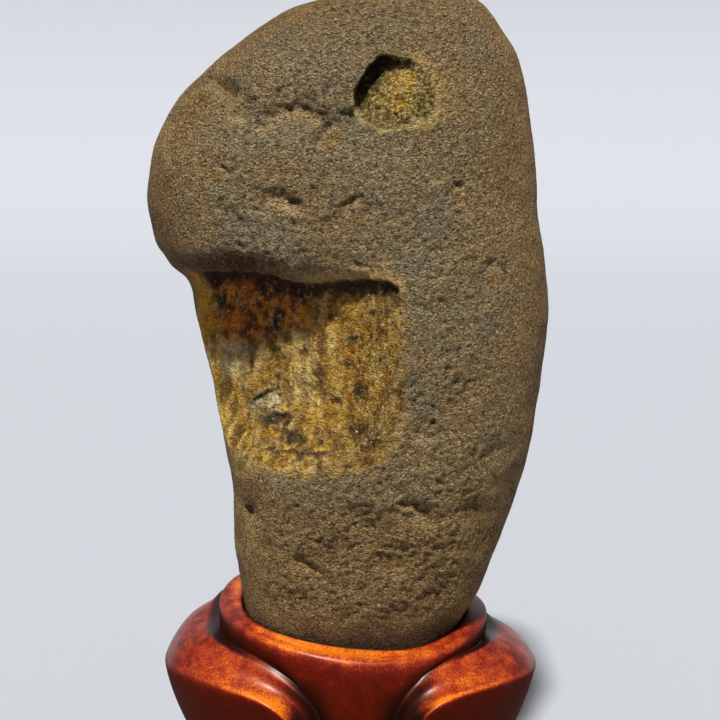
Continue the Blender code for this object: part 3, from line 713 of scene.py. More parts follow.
# shallow flakes that have come off: their size, their depth and where they begin
FLAKES = ((6.0, 0.16, 0.30), (2.6, 0.12, 0.30), (1.3, 0.16, 0.20))
FLAKE_EDGE = 0.20
FLAKE_STRETCH = (1.15, 1.1, 0.9)
# the sides are rubbed calm: where that begins, where it is full, and how much it takes
CALM_FROM, CALM_TO, CALM_SHARE = 0.55, 0.88, 0.85
PIT_COUNT = 1300
PIT_RADII = (0.5, 1.2)
PIT_DEPTHS = (0.08, 0.34)
CHIP_COUNT = 760
CHIP_LENGTHS = (0.9, 4.2)
CHIP_DEPTHS = (0.14, 0.55)
CHIP_SLANT = math.radians(30.0)
CHIP_REACH = 0.3
CHIP_MARGIN = 1.0
print(len(GRAIN), "sizes of grain and", len(FLAKES), "sizes of flakes")

# %% The marks that are placed one by one
# chips drawn from left to right: depth, reach of the dip above, then x and height of each bend
SCARPS = (
    (0.8, 1.3, (-28.2, 145.2), (-25.1, 144.5), (-23.8, 143.3), (-21.8, 142.3), (-19.2, 141.9)),
    (0.5, 0.8, (-22.0, 138.5), (-19.3, 137.7), (-17.9, 137.5)),
    (0.4, 0.5, (-17.6, 136.4), (-15.2, 136.1), (-13.0, 136.8)),
    (0.5, 2.4, (-16.9, 137.1), (-14.5, 137.4), (-13.2, 138.1), (-11.2, 138.6), (-8.9, 139.0),
     (-6.6, 138.1), (-4.8, 137.1), (-2.6, 135.8)),
    (0.7, 0.7, (-6.6, 132.2), (-4.1, 135.2), (-2.4, 137.2)),
    (0.6, 0.9, (-25.4, 129.2), (-23.3, 128.8), (-20.8, 126.8)),
    (0.6, 1.0, (-15.0, 123.6), (-11.5, 122.9), (-9.9, 122.2), (-8.0, 121.3)),
    (0.4, 0.6, (-17.8, 120.8), (-15.3, 121.1), (-13.6, 120.6)),
    (0.6, 0.8, (-1.8, 121.7), (0.2, 122.0), (1.3, 123.2), (3.6, 123.2)),
    (0.5, 0.7, (14.0, 126.2), (17.4, 127.2)),
    (0.6, 0.8, (18.6, 125.2), (21.4, 125.0)),
    (0.6, 0.9, (24.6, 110.3), (27.2, 110.9), (29.4, 109.0)),
    (0.5, 0.8, (-11.4, 54.6), (-7.4, 52.8), (-3.8, 50.8)),
    (0.9, 1.0, (8.4, 66.2), (11.7, 65.4), (15.2, 62.9)),
    (0.6, 0.9, (-0.6, 63.0), (2.4, 63.9), (5.8, 64.3)),
    (0.5, 0.8, (15.8, 49.4), (19.2, 47.6)),
    (0.5, 0.8, (3.8, 57.3), (7.7, 57.4), (11.2, 56.0)),
    (0.5, 0.9, (11.0, 80.2), (13.6, 80.0), (16.4, 78.4)),
)
# round pits: x, height, radius, depth
ROUND_PITS = (
    (-19.6, 62.7, 1.0, 0.8),
    (15.7, 82.2, 0.7, 0.5),
)
# scars in the break: x, height, half length, half height, turn in degrees, depth
SCARS = (
    (-16.6, 84.4, 4.0, 0.8, 34.0, 0.5),
    (-14.2, 80.8, 4.0, 1.2, 14.0, 0.5),
    (-11.0, 78.0, 3.6, 1.3, -8.0, 0.5),
    (2.0, 87.2, 1.4, 2.2, 8.0, 0.4),
    (1.8, 80.6, 2.4, 1.4, 60.0, 0.4),
    (-7.5, 90.0, 1.2, 5.0, 20.0, 0.4),
    (-13.0, 92.0, 1.2, 4.0, 35.0, 0.35),
)
# ribs of the break: their width, height, stretch and turn
RIBS = (
    (3.4, 0.45, (1.0, 1.6, 2.6), 0.35),
    (1.6, 0.30, (1.0, 1.6, 2.2), 0.30),
    (0.9, 0.18, (1.0, 1.0, 1.3), 0.0),
)
# lumps in the hollow: their width and their height
LUMPS = ((2.6, 0.35), (1.1, 0.18))
print(len(SCARPS), "drawn chips,", len(ROUND_PITS), "round pits and", len(SCARS), "scars")

# %% The profile of a chip
CHIP_EDGE = 0.3
# the dip is partly steep, close to the edge, and partly shallow, reaching three times as far
CHIP_STEEP, CHIP_SHALLOW = 0.55, 0.45
CHIP_BROAD = 3.0
CHIP_PROUD = 0.3
# the first and last quarter of a chip run out to nothing
CHIP_ENDS = 0.25


def below_line(x, z, path):
    """Distance below a line drawn from left to right, negative above it, and the share along it."""
    nearest = np.full(x.shape, 1e6)
    below = np.zeros(x.shape)
    share = np.zeros(x.shape)
    lengths = [math.dist(*ends) for ends in zip(path[:-1], path[1:])]
    covered = 0.0
    for (x0, z0), (x1, z1), length in zip(path[:-1], path[1:], lengths):
        run = ((x - x0) * (x1 - x0) + (z - z0) * (z1 - z0)) / length
        held = np.clip(run, 0.0, length)
        gap = np.hypot(x - x0 - held * (x1 - x0) / length, z - z0 - held * (z1 - z0) / length)
        across = ((z1 - z0) * (x - x0) - (x1 - x0) * (z - z0)) / length
        closer = gap < nearest
        nearest = np.where(closer, gap, nearest)
        below = np.where(closer, np.where(across > 0.0, gap, -gap), below)
        share = np.where(closer, (covered + held) / sum(lengths), share)
        covered += length
    return below, share


def run_out(share):
    """1 along a chip's middle, falling to 0 at both of its ends."""
    return step_between(0.0, CHIP_ENDS, share) * step_between(1.0, 1.0 - CHIP_ENDS, share)


def chip_depth(below, share, depth, reach):
    """A chip's profile: a dip that grows towards the line from above and stops at it."""
    above = np.minimum(below, 0.0)
    steep = CHIP_STEEP * np.exp(above / reach)
    dip = steep + CHIP_SHALLOW * np.exp(-(above / (CHIP_BROAD * reach)) ** 2)
    proud = CHIP_PROUD * step_between(-CHIP_EDGE, CHIP_EDGE, below)
    proud = proud * np.exp(-np.maximum(below, 0.0) / reach)
    return depth * run_out(share) * (dip * step_between(CHIP_EDGE, -CHIP_EDGE, below) - proud)


print("half way along, a chip 1 mm deep dips", round(float(chip_depth(-0.5, 0.5, 1.0, 1.0)), 2), "mm")

# %% Scattering pits and chips
def turned(points, turn):
    """Points turned about the line from front to back."""
    x, y, z = points.T
    across = x * math.cos(turn) - z * math.sin(turn)
    up = x * math.sin(turn) + z * math.cos(turn)
    return np.stack([across, y, up], axis=-1)


def skin_tree(points):
    tree = kdtree.KDTree(len(points))
    for index, point in enumerate(points):
        tree.insert(point, index)
    tree.balance()
    return tree


def scattered_pits(points, tree, dice):
    """Round pits with a crisp edge, most of them small."""
    pressed = np.zeros(len(points))
    for centre in dice.choice(len(points), PIT_COUNT, replace=False):
        radius = np.interp(dice.random() ** 3, (0.0, 1.0), PIT_RADII)
        depth = np.interp(dice.random() ** 2, (0.0, 1.0), PIT_DEPTHS)
        for _, index, distance in tree.find_range(points[centre], radius):
            pressed[index] = max(pressed[index], depth * (1.0 - (distance / radius) ** 2))
    return pressed


def scattered_chips(points, normals, tree, dice):
    """Small chips, most of them nearly level."""
    pressed = np.zeros(len(points))
    for centre in dice.choice(len(points), CHIP_COUNT, replace=False):
        half = 0.5 * np.interp(dice.random() ** 2, (0.0, 1.0), CHIP_LENGTHS)
        depth = np.interp(dice.random() ** 2, (0.0, 1.0), CHIP_DEPTHS)
        slant = dice.normal() * CHIP_SLANT
        normal = normals[centre]
        level = np.cross((0.0, 0.0, 1.0), normal)
        level /= max(np.linalg.norm(level), 1e-6)
        rising = np.cross(normal, level)
        along = level * math.cos(slant) + rising * math.sin(slant)
        across = np.cross(normal, along)
        near = np.array([index for _, index, _ in tree.find_range(points[centre], half + CHIP_MARGIN)])
        offset = points[near] - points[centre]
        share = 0.5 + (offset @ along) / (2.0 * half)
        dip = chip_depth(-(offset @ across), share, depth, CHIP_REACH + CHIP_REACH * half)
        pressed[near] = np.maximum(pressed[near], dip)
    return pressed


print(CHIP_COUNT, "chips and", PIT_COUNT, "pits to scatter")

# %% Grain, pits and chips pressed in
# above the socket the skin is left free to stand out
FREE_FROM = (40.0, 45.0)
SCARP_WAVER = 0.45
SCAR_WAVER = 0.9
PIT_EDGE = (1.15, 0.6)
SCAR_EDGE = (0.25, 0.5)
# each unevenness reads its own part of the noise, so that no two repeat each other
FLAKE_PATTERN = 20.0
RAGGED_PATTERN = 31.0
RIB_PATTERN = 40.0
LUMP_PATTERN = 70.0
WAVER_PATTERN = 90.0

out = normals_of(stone.data)
calm = 1.0 - CALM_SHARE * step_between(CALM_FROM, CALM_TO, np.abs(zone["side"]))
free = calm * step_between(*FREE_FROM, z)
cortex = (1.0 - broken) * (1.0 - hollowed)
tree = skin_tree(skin)
dice = np.random.default_rng(SEED)
carved = np.zeros(len(skin))
for size, height in GRAIN:
    carved += height * free * rough(skin, size, 2, size)
for size, depth, from_here in FLAKES:
    flaked = rough(skin, size, 3, FLAKE_PATTERN + size, FLAKE_STRETCH)
    carved -= depth * free * cortex * step_between(from_here, from_here + FLAKE_EDGE, flaked)
carved -= free * cortex * scattered_pits(skin, tree, dice)
carved -= free * cortex * scattered_chips(skin, out, tree, dice)
waver = rough(skin, 1.6, 2, WAVER_PATTERN)
for depth, reach, *path in SCARPS:
    under, along = below_line(x, z + SCARP_WAVER * waver, path)
    carved -= zone["front"] * cortex * chip_depth(under, along, depth, reach)
for middle_x, middle_z, radius, depth in ROUND_PITS:
    away = np.hypot(x - middle_x, z - middle_z) / radius
    carved -= zone["front"] * depth * step_between(*PIT_EDGE, away)
for size, height, stretch, turn in RIBS:
    carved += height * broken * rough(turned(skin, turn), size, 3, RIB_PATTERN + size, stretch)
ragged = rough(skin, 2.4, 3, RAGGED_PATTERN)
for *oval, depth in SCARS:
    scar = spot(x + SCAR_WAVER * ragged, z + SCAR_WAVER * waver, *oval)
    carved -= depth * broken * step_between(*SCAR_EDGE, scar)
for size, height in LUMPS:
    carved += height * hollowed * rough(skin, size, 3, LUMP_PATTERN + size)
place_points(stone.data, skin + out * carved[:, None])
print("carved from", round(carved.min(), 2), "to", round(carved.max(), 2), "mm")

# %% [markdown]
# ## Fewer faces
# Decimating brings the stone down to at most 192,000 triangles. The exported piece has to stay
# under 200,000 triangles. It merges faces where the skin is calm first, so the rough break keeps
# its small squares.

# %% Fewer faces
MOST_TRIANGLES = 192000


def triangles_of(mesh):
    return sum(len(face.vertices) - 2 for face in mesh.polygons)


apply_modifier(stone, "DECIMATE", ratio=min(1.0, MOST_TRIANGLES / triangles_of(stone.data)))
bpy.ops.object.shade_smooth()
print("stone:", triangles_of(stone.data), "triangles")

# %% [markdown]
# ## Colour zones of the stone
# A stone's colours follow its history. Rust soaks in from the sides and round old breaks, and the
# fresh break is golden with dark seams. The pits are darker, and some zones are painted light and
# shade: shade under the nose, under the lip and in the hollow, shade with dirt at the foot, and light
# on the lip's right half. Each of these is measured once for every point and kept as an attribute,
# which the material then reads.

# %% Patches of colour
# each row: x, height, half length, half height, turn in degrees, strength
SKIN_PATCHES = {
    # ochre stains on the old skin
    "rust": (
        (-3.2, 133.6, 3.4, 2.0, 35.0, 0.9),
        (0.6, 119.6, 4.2, 1.3, 12.0, 0.8),
        (20.2, 123.4, 1.6, 1.4, 0.0, 0.9),
        (20.0, 82.0, 6.0, 8.0, 0.0, 0.45),
        (-19.6, 63.6, 2.2, 2.0, 0.0, 0.6),
        (27.0, 108.0, 3.0, 1.8, 20.0, 0.4),
        (-21.5, 142.0, 2.2, 1.0, -35.0, 0.8),
        (-23.6, 127.4, 2.8, 1.1, -35.0, 0.8),
        (2.0, 111.0, 7.0, 1.2, -4.0, 0.6),
    ),
    # places that stayed grey
    "grey": (
        (-17.0, 134.8, 9.0, 3.6, 0.0, 0.9),
        (-6.0, 146.0, 9.0, 5.5, -10.0, 0.8),
        (4.0, 131.0, 10.0, 7.0, 0.0, 0.6),
        (-14.0, 117.0, 7.0, 5.0, 0.0, 0.5),
        (14.0, 112.0, 6.0, 9.0, 0.0, 0.5),
        (-8.0, 64.0, 9.0, 6.0, 0.0, 0.6),
    ),
}
BREAK_PATCHES = {
    # dark seams and scabs
    "scabs": (
        (-17.4, 84.6, 4.2, 0.7, 32.0, 0.9),
        (-14.8, 82.6, 2.6, 0.7, 38.0, 0.8),
        (-14.2, 80.8, 4.2, 1.2, 14.0, 1.0),
        (-11.0, 77.9, 3.6, 1.4, -8.0, 1.0),
        (-6.3, 79.6, 1.8, 2.4, 35.0, 0.6),
        (2.0, 87.4, 1.3, 2.3, 6.0, 1.0),
        (1.9, 80.6, 1.9, 2.4, -14.0, 0.9),
        (-2.8, 85.4, 1.3, 1.3, 0.0, 0.9),
        (0.2, 92.6, 2.2, 1.2, -20.0, 0.8),
        (0.4, 97.4, 1.3, 0.7, 0.0, 0.9),
        (-2.8, 101.0, 1.6, 1.2, 0.0, 0.8),
        (-20.4, 80.6, 1.2, 0.5, -30.0, 0.5),
    ),
    # bleached flakes
    "pale": (
        (-23.0, 93.9, 3.2, 1.3, 0.0, 0.8),
        (-22.8, 90.6, 2.0, 1.6, -30.0, 0.9),
        (-17.0, 83.8, 3.2, 0.5, 34.0, 0.8),
        (-14.7, 84.4, 1.3, 1.8, -20.0, 1.0),
        (-10.0, 96.0, 4.0, 3.0, 30.0, 0.2),
        (-9.0, 88.0, 3.0, 4.0, 20.0, 0.2),
    ),
    # bluish films of manganese
    "ink": (
        (-14.6, 80.9, 3.6, 1.3, 12.0, 1.0),
        (-11.0, 78.1, 2.8, 1.4, -8.0, 0.8),
        (-22.6, 87.4, 2.2, 1.6, 0.0, 0.5),
    ),
    # the purest yellow, in the break and in the hollow
    "gold": (
        (9.0, 140.4, 1.1, 1.0, 0.0, 1.0),
        (10.4, 144.4, 1.9, 1.5, 30.0, 1.0),
        (0.0, 91.0, 2.6, 5.0, 6.0, 0.8),
        (-11.5, 92.0, 2.6, 3.4, 20.0, 0.6),
        (1.2, 102.2, 3.2, 4.6, 12.0, 1.0),
        (-3.0, 84.0, 2.0, 1.6, 0.0, 0.9),
        (-6.6, 80.4, 2.6, 3.0, 20.0, 0.7),
        (-14.6, 78.4, 2.6, 0.9, 0.0, 0.9),
        (-3.6, 92.0, 1.6, 3.4, 10.0, 0.6),
        (-24.6, 97.2, 3.4, 1.2, 10.0, 0.9),
    ),
    # bright rust in the iron stain under the nose
    "rust_spots": (
        (-19.8, 106.4, 1.7, 2.2, 0.0, 1.0),
        (-23.4, 98.6, 4.6, 1.5, 15.0, 0.9),
        (-11.6, 103.4, 1.2, 2.0, 0.0, 0.5),
        (-8.4, 100.6, 1.6, 1.6, 0.0, 0.9),
        (-17.6, 96.8, 1.9, 1.2, 0.0, 0.8),
        (-25.0, 94.4, 4.6, 1.0, 10.0, 0.9),
    ),
}


def patches(x, z, table):
    """The strongest of a table's oval patches at each point."""
    total = np.zeros(len(x))
    for *oval, strength in table:
        total = np.maximum(total, strength * spot(x, z, *oval))
    return total


print(sum(map(len, SKIN_PATCHES.values())), "patches on the skin,",
      sum(map(len, BREAK_PATCHES.values())), "in the break and the hollow")

# %% The points as they are now
# two slow, seeded unevennesses keep every border of colour from running straight: width in
# millimetres, octaves and pattern
WAVER = (3.0, 3, 55.0)
RIPPLE = (1.2, 3, 65.0)

stone_mesh = stone.data
skin = points_of(stone_mesh)
x, y, z = skin.T
zone = zones(skin)
front, side, rim_share = zone["front"], zone["side"], zone["rim_share"]
waver = rough(skin, *WAVER)
ripple = rough(skin, *RIPPLE)
print("border unevenness:", round(float(waver.std()), 2), "and", round(float(ripple.std()), 2))

# %% The fresh break
# the golden break, each from outside to inside: its right side, lip, depth and toe
GOLDEN_SIDE = (10.9, 9.5)
GOLDEN_LIP = (-0.6, 0.4)
GOLDEN_DEPTH = (-1.0, 0.2)
GOLDEN_TOE = (-1.6, -0.4)
# the golden strip that runs up the stone's left edge beside the iron stain
STRIP_SIDE = (-0.80, -0.90)
STRIP_FOOT = (94.0, 98.0)
STRIP_TOP = (109.0, 107.5)
STRIP_BACK = (3.0, -4.0)
# the iron stain under the nose, drawn down to where the lip's cast shadow ends, so it is partly
# painted shadow: where it begins, how it rises to the right, where it ends
IRON_SHADOW_FOOT = (94.0, 96.2)
IRON_SLOPE = 0.34
IRON_FROM = -20.0
IRON_FADES = (-3.0, -10.0)
# the dark seam at the break's foot: its gap from the toe, its half width, its right and left ends
FOOT_GAP = 2.6
FOOT_SEAM = (0.9, 0.1)
FOOT_STRENGTH = 0.8
FOOT_RIGHT = (1.0, -5.0)
FOOT_LEFT = (-20.0, -15.0)
# painted shadow just under the lip, in the break: where it fades out and where it is full
LIP_SHADOW_REACH = (5.0, 1.2)
GRANULAR_FROM = (-6.0, 3.0)

golden = (front * step_between(*GOLDEN_SIDE, x + 0.6 * waver)
          * step_between(*GOLDEN_LIP, zone["under_lip"])
          * step_between(*GOLDEN_DEPTH, zone["below"])
          * step_between(*GOLDEN_TOE, zone["over_toe"] + 0.8 * waver))
left_strip = (step_between(*STRIP_SIDE, side + 0.02 * waver)
              * step_between(*STRIP_FOOT, z + waver) * step_between(*STRIP_TOP, z + waver)
              * step_between(*STRIP_BACK, y + 2.0 * waver))
golden = np.maximum(golden, left_strip)
iron_height = z - IRON_SLOPE * np.maximum(x - IRON_FROM, 0.0) + 1.2 * waver
iron = (zone["in_break"] * step_between(*IRON_SHADOW_FOOT, iron_height)
        * step_between(*IRON_FADES, x + 1.5 * waver))
lip_dark = zone["in_break"] * step_between(*LIP_SHADOW_REACH, zone["under_lip"] + 1.2 * ripple)
foot_gap = np.abs(zone["over_toe"] - FOOT_GAP + 0.6 * waver)
foot_dark = zone["in_break"] * step_between(*FOOT_SEAM, foot_gap)
foot_dark = FOOT_STRENGTH * foot_dark * step_between(*FOOT_RIGHT, x) * step_between(*FOOT_LEFT, x)
print("share of the skin golden:", round(float(golden.mean()), 3),
      "iron stained:", round(float(iron.mean()), 4))

# %% The old skin round the break and the hollow
SIDES_FROM = (0.55, 0.95)
CROWN_FROM = (150.0, 162.0)
CROWN_LEFT = (8.0, 20.0)
# the ochre halo round the break: how far it reaches, its strength, and what it loses higher up
HALO_REACH = (3.4, 0.4)
HALO_STRENGTH = 0.75
HALO_LOSS = 0.35
HALO_LOSS_FROM = (82.0, 90.0)
HALO_TOP = 106.0
# the ochre line on the lip's right half, partly painted light: the lip turns down out of the lamp
# there, and the line is painted lighter
LIP_GOLD_GAP = 0.9
LIP_GOLD_REACH = (2.6, 0.4)
LIP_GOLD_LEFT = (-12.0, -4.0)
LIP_GOLD_RIGHT = (12.0, 9.0)
LIP_LIGHT_STRENGTH = 0.85
# the ochre skin right of the hollow
BESIDE_REACH = (1.75, 1.1)
BESIDE_TURN = (0.0, 0.7)
BESIDE_STRENGTH = 0.62
# painted shade in dark brown: under the nose, where the skin rolls in, and up the stone's left edge
UMBER_GAP = 0.6
UMBER_REACH = (5.4, 1.4)
UMBER_RIGHT = (-7.0, -19.0)
UMBER_EDGE = (-0.72, -0.98)
UMBER_EDGE_FOOT = (105.0, 109.0)
UMBER_EDGE_TOP = (136.0, 118.0)
UMBER_EDGE_STRENGTH = 0.55

sides = (step_between(*SIDES_FROM, np.abs(side))
         + step_between(*CROWN_FROM, z) * (1.0 - step_between(*CROWN_LEFT, x)))
toe_and_right_side = TOE_LINE[1:] + ((BREAK_RIGHT, HALO_TOP),)
rim_gap = np.maximum(distance_to_path(x, z, toe_and_right_side) + 0.7 * waver, 0.0)
halo = (front * step_between(*HALO_REACH, rim_gap)
        * (HALO_STRENGTH - HALO_LOSS * step_between(*HALO_LOSS_FROM, z)))
over_lip = -zone["under_lip"] + 0.5 * waver
lip_gold_and_light = (step_between(*LIP_GOLD_REACH, np.abs(over_lip - LIP_GOLD_GAP))
            * step_between(*LIP_GOLD_LEFT, x) * step_between(*LIP_GOLD_RIGHT, x))
# the halo also carries the painted light on the lip's right half
halo = np.maximum(halo, LIP_LIGHT_STRENGTH * front * lip_gold_and_light)
right_of_hollow = (step_between(*BESIDE_REACH, rim_share + 0.2 * waver)
                   * step_between(*BESIDE_TURN, np.cos(zone["rim_turn"])))
halo = np.maximum(halo, BESIDE_STRENGTH * front * right_of_hollow)
# painted shade under the nose, where the skin rolls in, and up the left edge
umber = (front * step_between(*UMBER_REACH, np.abs(over_lip - UMBER_GAP))
         * step_between(*UMBER_RIGHT, x + waver))
left_edge_painted_shade = (UMBER_EDGE_STRENGTH * step_between(*UMBER_EDGE, side)
               * step_between(*UMBER_EDGE_FOOT, z)
               * step_between(*UMBER_EDGE_TOP, z + 2.0 * waver))
umber = np.maximum(umber, left_edge_painted_shade)
print("share of the skin haloed:", round(float(halo.mean()), 3),
      "umber:", round(float(umber.mean()), 3))

# %% The hollow and the lit edges of chips
CRESCENT_SHADE_DEPTH = (3.0, 5.6)
POCKET_MIDDLE = (0.95, 0.35)
RIM_LINE_AT = 1.05
RIM_LINE_WIDTH = 0.055
RIM_LINE_TURN = (0.3, -0.5)
EDGE_LIT_AT = 0.8
EDGE_LIT_WIDTH = 0.8

# painted shade: the deepest part of the hollow, under its overhang, darkened as a crescent
crescent = step_between(*CRESCENT_SHADE_DEPTH, zone["below"] + 0.6 * ripple) * zone["hollowed"]
pocket_middle = zone["hollowed"] * step_between(*POCKET_MIDDLE, rim_share + 0.2 * waver)
rim_line = (np.exp(-((rim_share - RIM_LINE_AT) / RIM_LINE_WIDTH) ** 2)
            * step_between(*RIM_LINE_TURN, np.sin(zone["rim_turn"])))
edges_lit = np.zeros(len(skin))
for depth, _, *path in SCARPS:
    under, along = below_line(x, z + SCARP_WAVER * waver, path)
    lit_edge = np.exp(-((under - EDGE_LIT_AT) / EDGE_LIT_WIDTH) ** 2)
    edges_lit = np.maximum(edges_lit, depth * run_out(along) * lit_edge)
print("share of the skin in the dark crescent:", round(float(crescent.mean()), 4))

# %% Every zone kept on the mesh
LOW_FROM = (76.0, 58.0)
# dirt and painted shade at the stone's foot above the collar: where it ends, and where it is full
FOOT_SHADE_FROM = (42.5, 36.5)
FINE_PASSES = 6

shares = {
    "golden": golden,
    "hollowed": zone["hollowed"],
    "sides": np.clip(sides, 0.0, 1.0),
    "halo": halo,
    "umber": umber,
    "iron": iron * (1.0 - left_strip),
    "lip_dark": lip_dark * (1.0 - left_strip),
    "granular": step_between(*GRANULAR_FROM, x + 2.0 * waver),
    "crescent": crescent,
    "pocket_middle": pocket_middle,
    "rim_line": front * rim_line,
    "edges_lit": front * edges_lit,
    "low": step_between(*LOW_FROM, z + 3.0 * waver),
    "foot_dirt": step_between(*FOOT_SHADE_FROM, z + 1.4 * waver),
    "fine": standing_out(stone_mesh, FINE_PASSES),
}
for name, rows in SKIN_PATCHES.items():
    shares[name] = front * patches(x, z, rows)
for name, rows in BREAK_PATCHES.items():
    shares[name] = front * patches(x + 0.7 * waver + 0.5 * ripple, z + 0.6 * ripple, rows)
shares["scabs"] = np.maximum(shares["scabs"], front * foot_dark)
shares["gold"] = np.maximum(shares["gold"], left_strip)
for name, values in shares.items():
    keep_attribute(stone_mesh, name, values)
print(len(shares), "zones kept on", len(skin), "points")

# %% [markdown]
# ## Writing shader maths
# A node tree is a drawing of sums. A small class lets those sums be written as plain expressions:
# a wire is one socket, and adding or multiplying wires adds the Math nodes. One method makes any
# other node, with its settings first and its sockets after.

# %% Wires
class Wire:
    """One socket that can be added, multiplied and mixed."""

    def __init__(self, tree, socket):
        self.tree = tree
        self.socket = socket

    def node(self, kind, settings, inputs, output=0):
        made = self.tree.nodes.new(kind)
        for name, value in settings.items():
            if name == "stops":
                ramp = made.color_ramp
                while len(ramp.elements) < len(value):
                    ramp.elements.new(1.0)
                for stop, (place, colour) in zip(ramp.elements, value):
                    stop.position = place
                    stop.color = colour
            else:
                setattr(made, name, value)
        for name, value in inputs.items():
            if isinstance(value, Wire):
                self.tree.links.new(value.socket, made.inputs[name])
            else:
                made.inputs[name].default_value = value
        return Wire(self.tree, made.outputs[output])

    def math(self, operation, first, second):
        return self.node("ShaderNodeMath", {"operation": operation}, {0: first, 1: second})

    def __add__(self, other):
        return self.math("ADD", self, other)

    def __radd__(self, other):
        return self.math("ADD", other, self)

    def __sub__(self, other):
        return self.math("SUBTRACT", self, other)

    def __rsub__(self, other):
        return self.math("SUBTRACT", other, self)

    def __mul__(self, other):
        return self.math("MULTIPLY", self, other)

    def __rmul__(self, other):
        return self.math("MULTIPLY", other, self)

    def between(self, low, high):
        """0 below low and 1 above high, with a soft passage; low may be the larger."""
        return self.node("ShaderNodeMapRange", {"interpolation_type": "SMOOTHSTEP"},
                         {"Value": self, "From Min": low, "From Max": high})

    def attribute(self, name):
        return self.node("ShaderNodeAttribute", {"attribute_name": name}, {}, "Fac")

    def noise(self, size, detail=2.0, roughness=0.5, stretch=(1.0, 1.0, 1.0), turn=(0.0, 0.0, 0.0),
              shift=0.0):
        """Noise of about 0 to 1 on this wire's coordinates; size is one spot in millimetres."""
        scale = [1.0 / (MM * size * part) for part in stretch]
        placed = self.node("ShaderNodeMapping", {}, {
            "Vector": self, "Rotation": turn, "Scale": scale, "Location": (shift, shift, shift)})
        return self.node("ShaderNodeTexNoise", {}, {
            "Vector": placed, "Scale": 1.0, "Detail": detail, "Roughness": roughness})

    def mixed(self, first, second):
        """Two colours mixed by this wire: the first where it is 0, the second where it is 1."""
        return self.node("ShaderNodeMix", {"data_type": "RGBA", "clamp_factor": True},
                         {0: self, 6: first, 7: second}, 2)

    def ramp(self, *stops):
        return self.node("ShaderNodeValToRGB", {"stops": stops}, {0: self})

    def bump(self, strength, distance):
        return self.node("ShaderNodeBump", {}, {
            "Strength": strength, "Distance": distance, "Height": self})


print("wires can be added, multiplied, mixed and bumped")

# %% Colours and finishes
def srgb(red, green, blue):
    """A colour as it is seen, 0 to 255, turned into the linear values that light works with."""
    seen = np.array((red, green, blue)) / 255.0
    linear = np.where(seen <= 0.04045, seen / 12.92, ((seen + 0.055) / 1.055) ** 2.4)
    return (*[float(part) for part in linear], 1.0)


def new_finish(name):
    """An empty finish: its material, its shader and a wire that carries Object coordinates."""
    finish = bpy.data.materials.new(name)
    finish.use_nodes = True
    tree = finish.node_tree
    place = tree.nodes.new("ShaderNodeTexCoord").outputs["Object"]
    return finish, tree.nodes["Principled BSDF"], Wire(tree, place)


def plug(shader, name, wire):
    shader.id_data.links.new(wire.socket, shader.inputs[name])


def put_on(piece, finish):
    """Takes a piece's old finishes off and puts one on."""
    piece.data.materials.clear()
    piece.data.materials.append(finish)
    print(finish.name, "on", piece.name + ":", len(finish.node_tree.nodes), "nodes")


print("middle grey in linear light:", round(srgb(128, 128, 128)[0], 3))

# %% [markdown]
# ## The stone's finish: the old skin
# The old skin is a matt grey-brown sandstone. Its look comes from the smallest things: dark specks
# where grains fell out, pale quartz grains that catch light, and clouds of grey and brown a
# centimetre wide. A picture of sandstone would stretch and repeat on such a form, so the finish is
# built of noise. The stains, the painted shade under the nose and the painted light on the lip go on
# before the grain, so that they tint it and don't hide it.

# %% The old skin
GREY_BROWN = srgb(124, 109, 80)
WARM_BROWN = srgb(136, 110, 71)
LIGHT_BROWN = srgb(152, 121, 74)
STONE_GREY = srgb(132, 121, 98)
LIT_EDGE = srgb(186, 156, 106)
OCHRE = srgb(152, 119, 68)
DARK_OCHRE = srgb(126, 94, 52)
UMBER_PAINTED_SHADE = srgb(84, 42, 16)
HALO_AND_LIT_LIP_OCHRE = srgb(186, 150, 86)
QUARTZ = srgb(204, 182, 140)
FALLEN_GRAIN = srgb(38, 27, 17)
DEEP_PIT = srgb(44, 32, 20)

stone_finish, shader, place = new_finish("river_stone_skin")
grain = place.noise(0.42, 1.6, 0.6, (1.1, 1.0, 0.95), (0.0, 0.6, 0.0))
crumb = place.noise(0.9, 4.0, 0.75, shift=7.0)
flecks = place.noise(1.0, 2.0, 0.6, (1.1, 1.0, 0.9), (0.0, 0.4, 0.0), 23.0)
clouds = place.noise(12.0, 4.0, 0.6, shift=3.0)
wisps = place.noise(4.0, 3.0, 0.6, (1.6, 1.0, 0.8), (0.0, 0.5, 0.0), 5.0)

brown = clouds.between(0.42, 0.58).mixed(GREY_BROWN, WARM_BROWN)
brown = (wisps.between(0.48, 0.66) * 0.5).mixed(brown, LIGHT_BROWN)
brown = (place.attribute("grey") * (0.3 + 1.0 * wisps)).mixed(brown, STONE_GREY)
brown = (place.attribute("edges_lit") * 1.8).mixed(brown, LIT_EDGE)
ochre = wisps.between(0.35, 0.65).mixed(OCHRE, DARK_OCHRE)
rusty = place.attribute("sides") * (0.45 + 0.8 * wisps) + place.attribute("rust")
rusty = rusty + place.attribute("low") * 0.9
skin_colour = rusty.between(0.15, 0.95).mixed(brown, ochre)
# painted shade: dark brown under the nose and up the left edge
skin_colour = (place.attribute("umber") * 0.95).mixed(skin_colour, UMBER_PAINTED_SHADE)
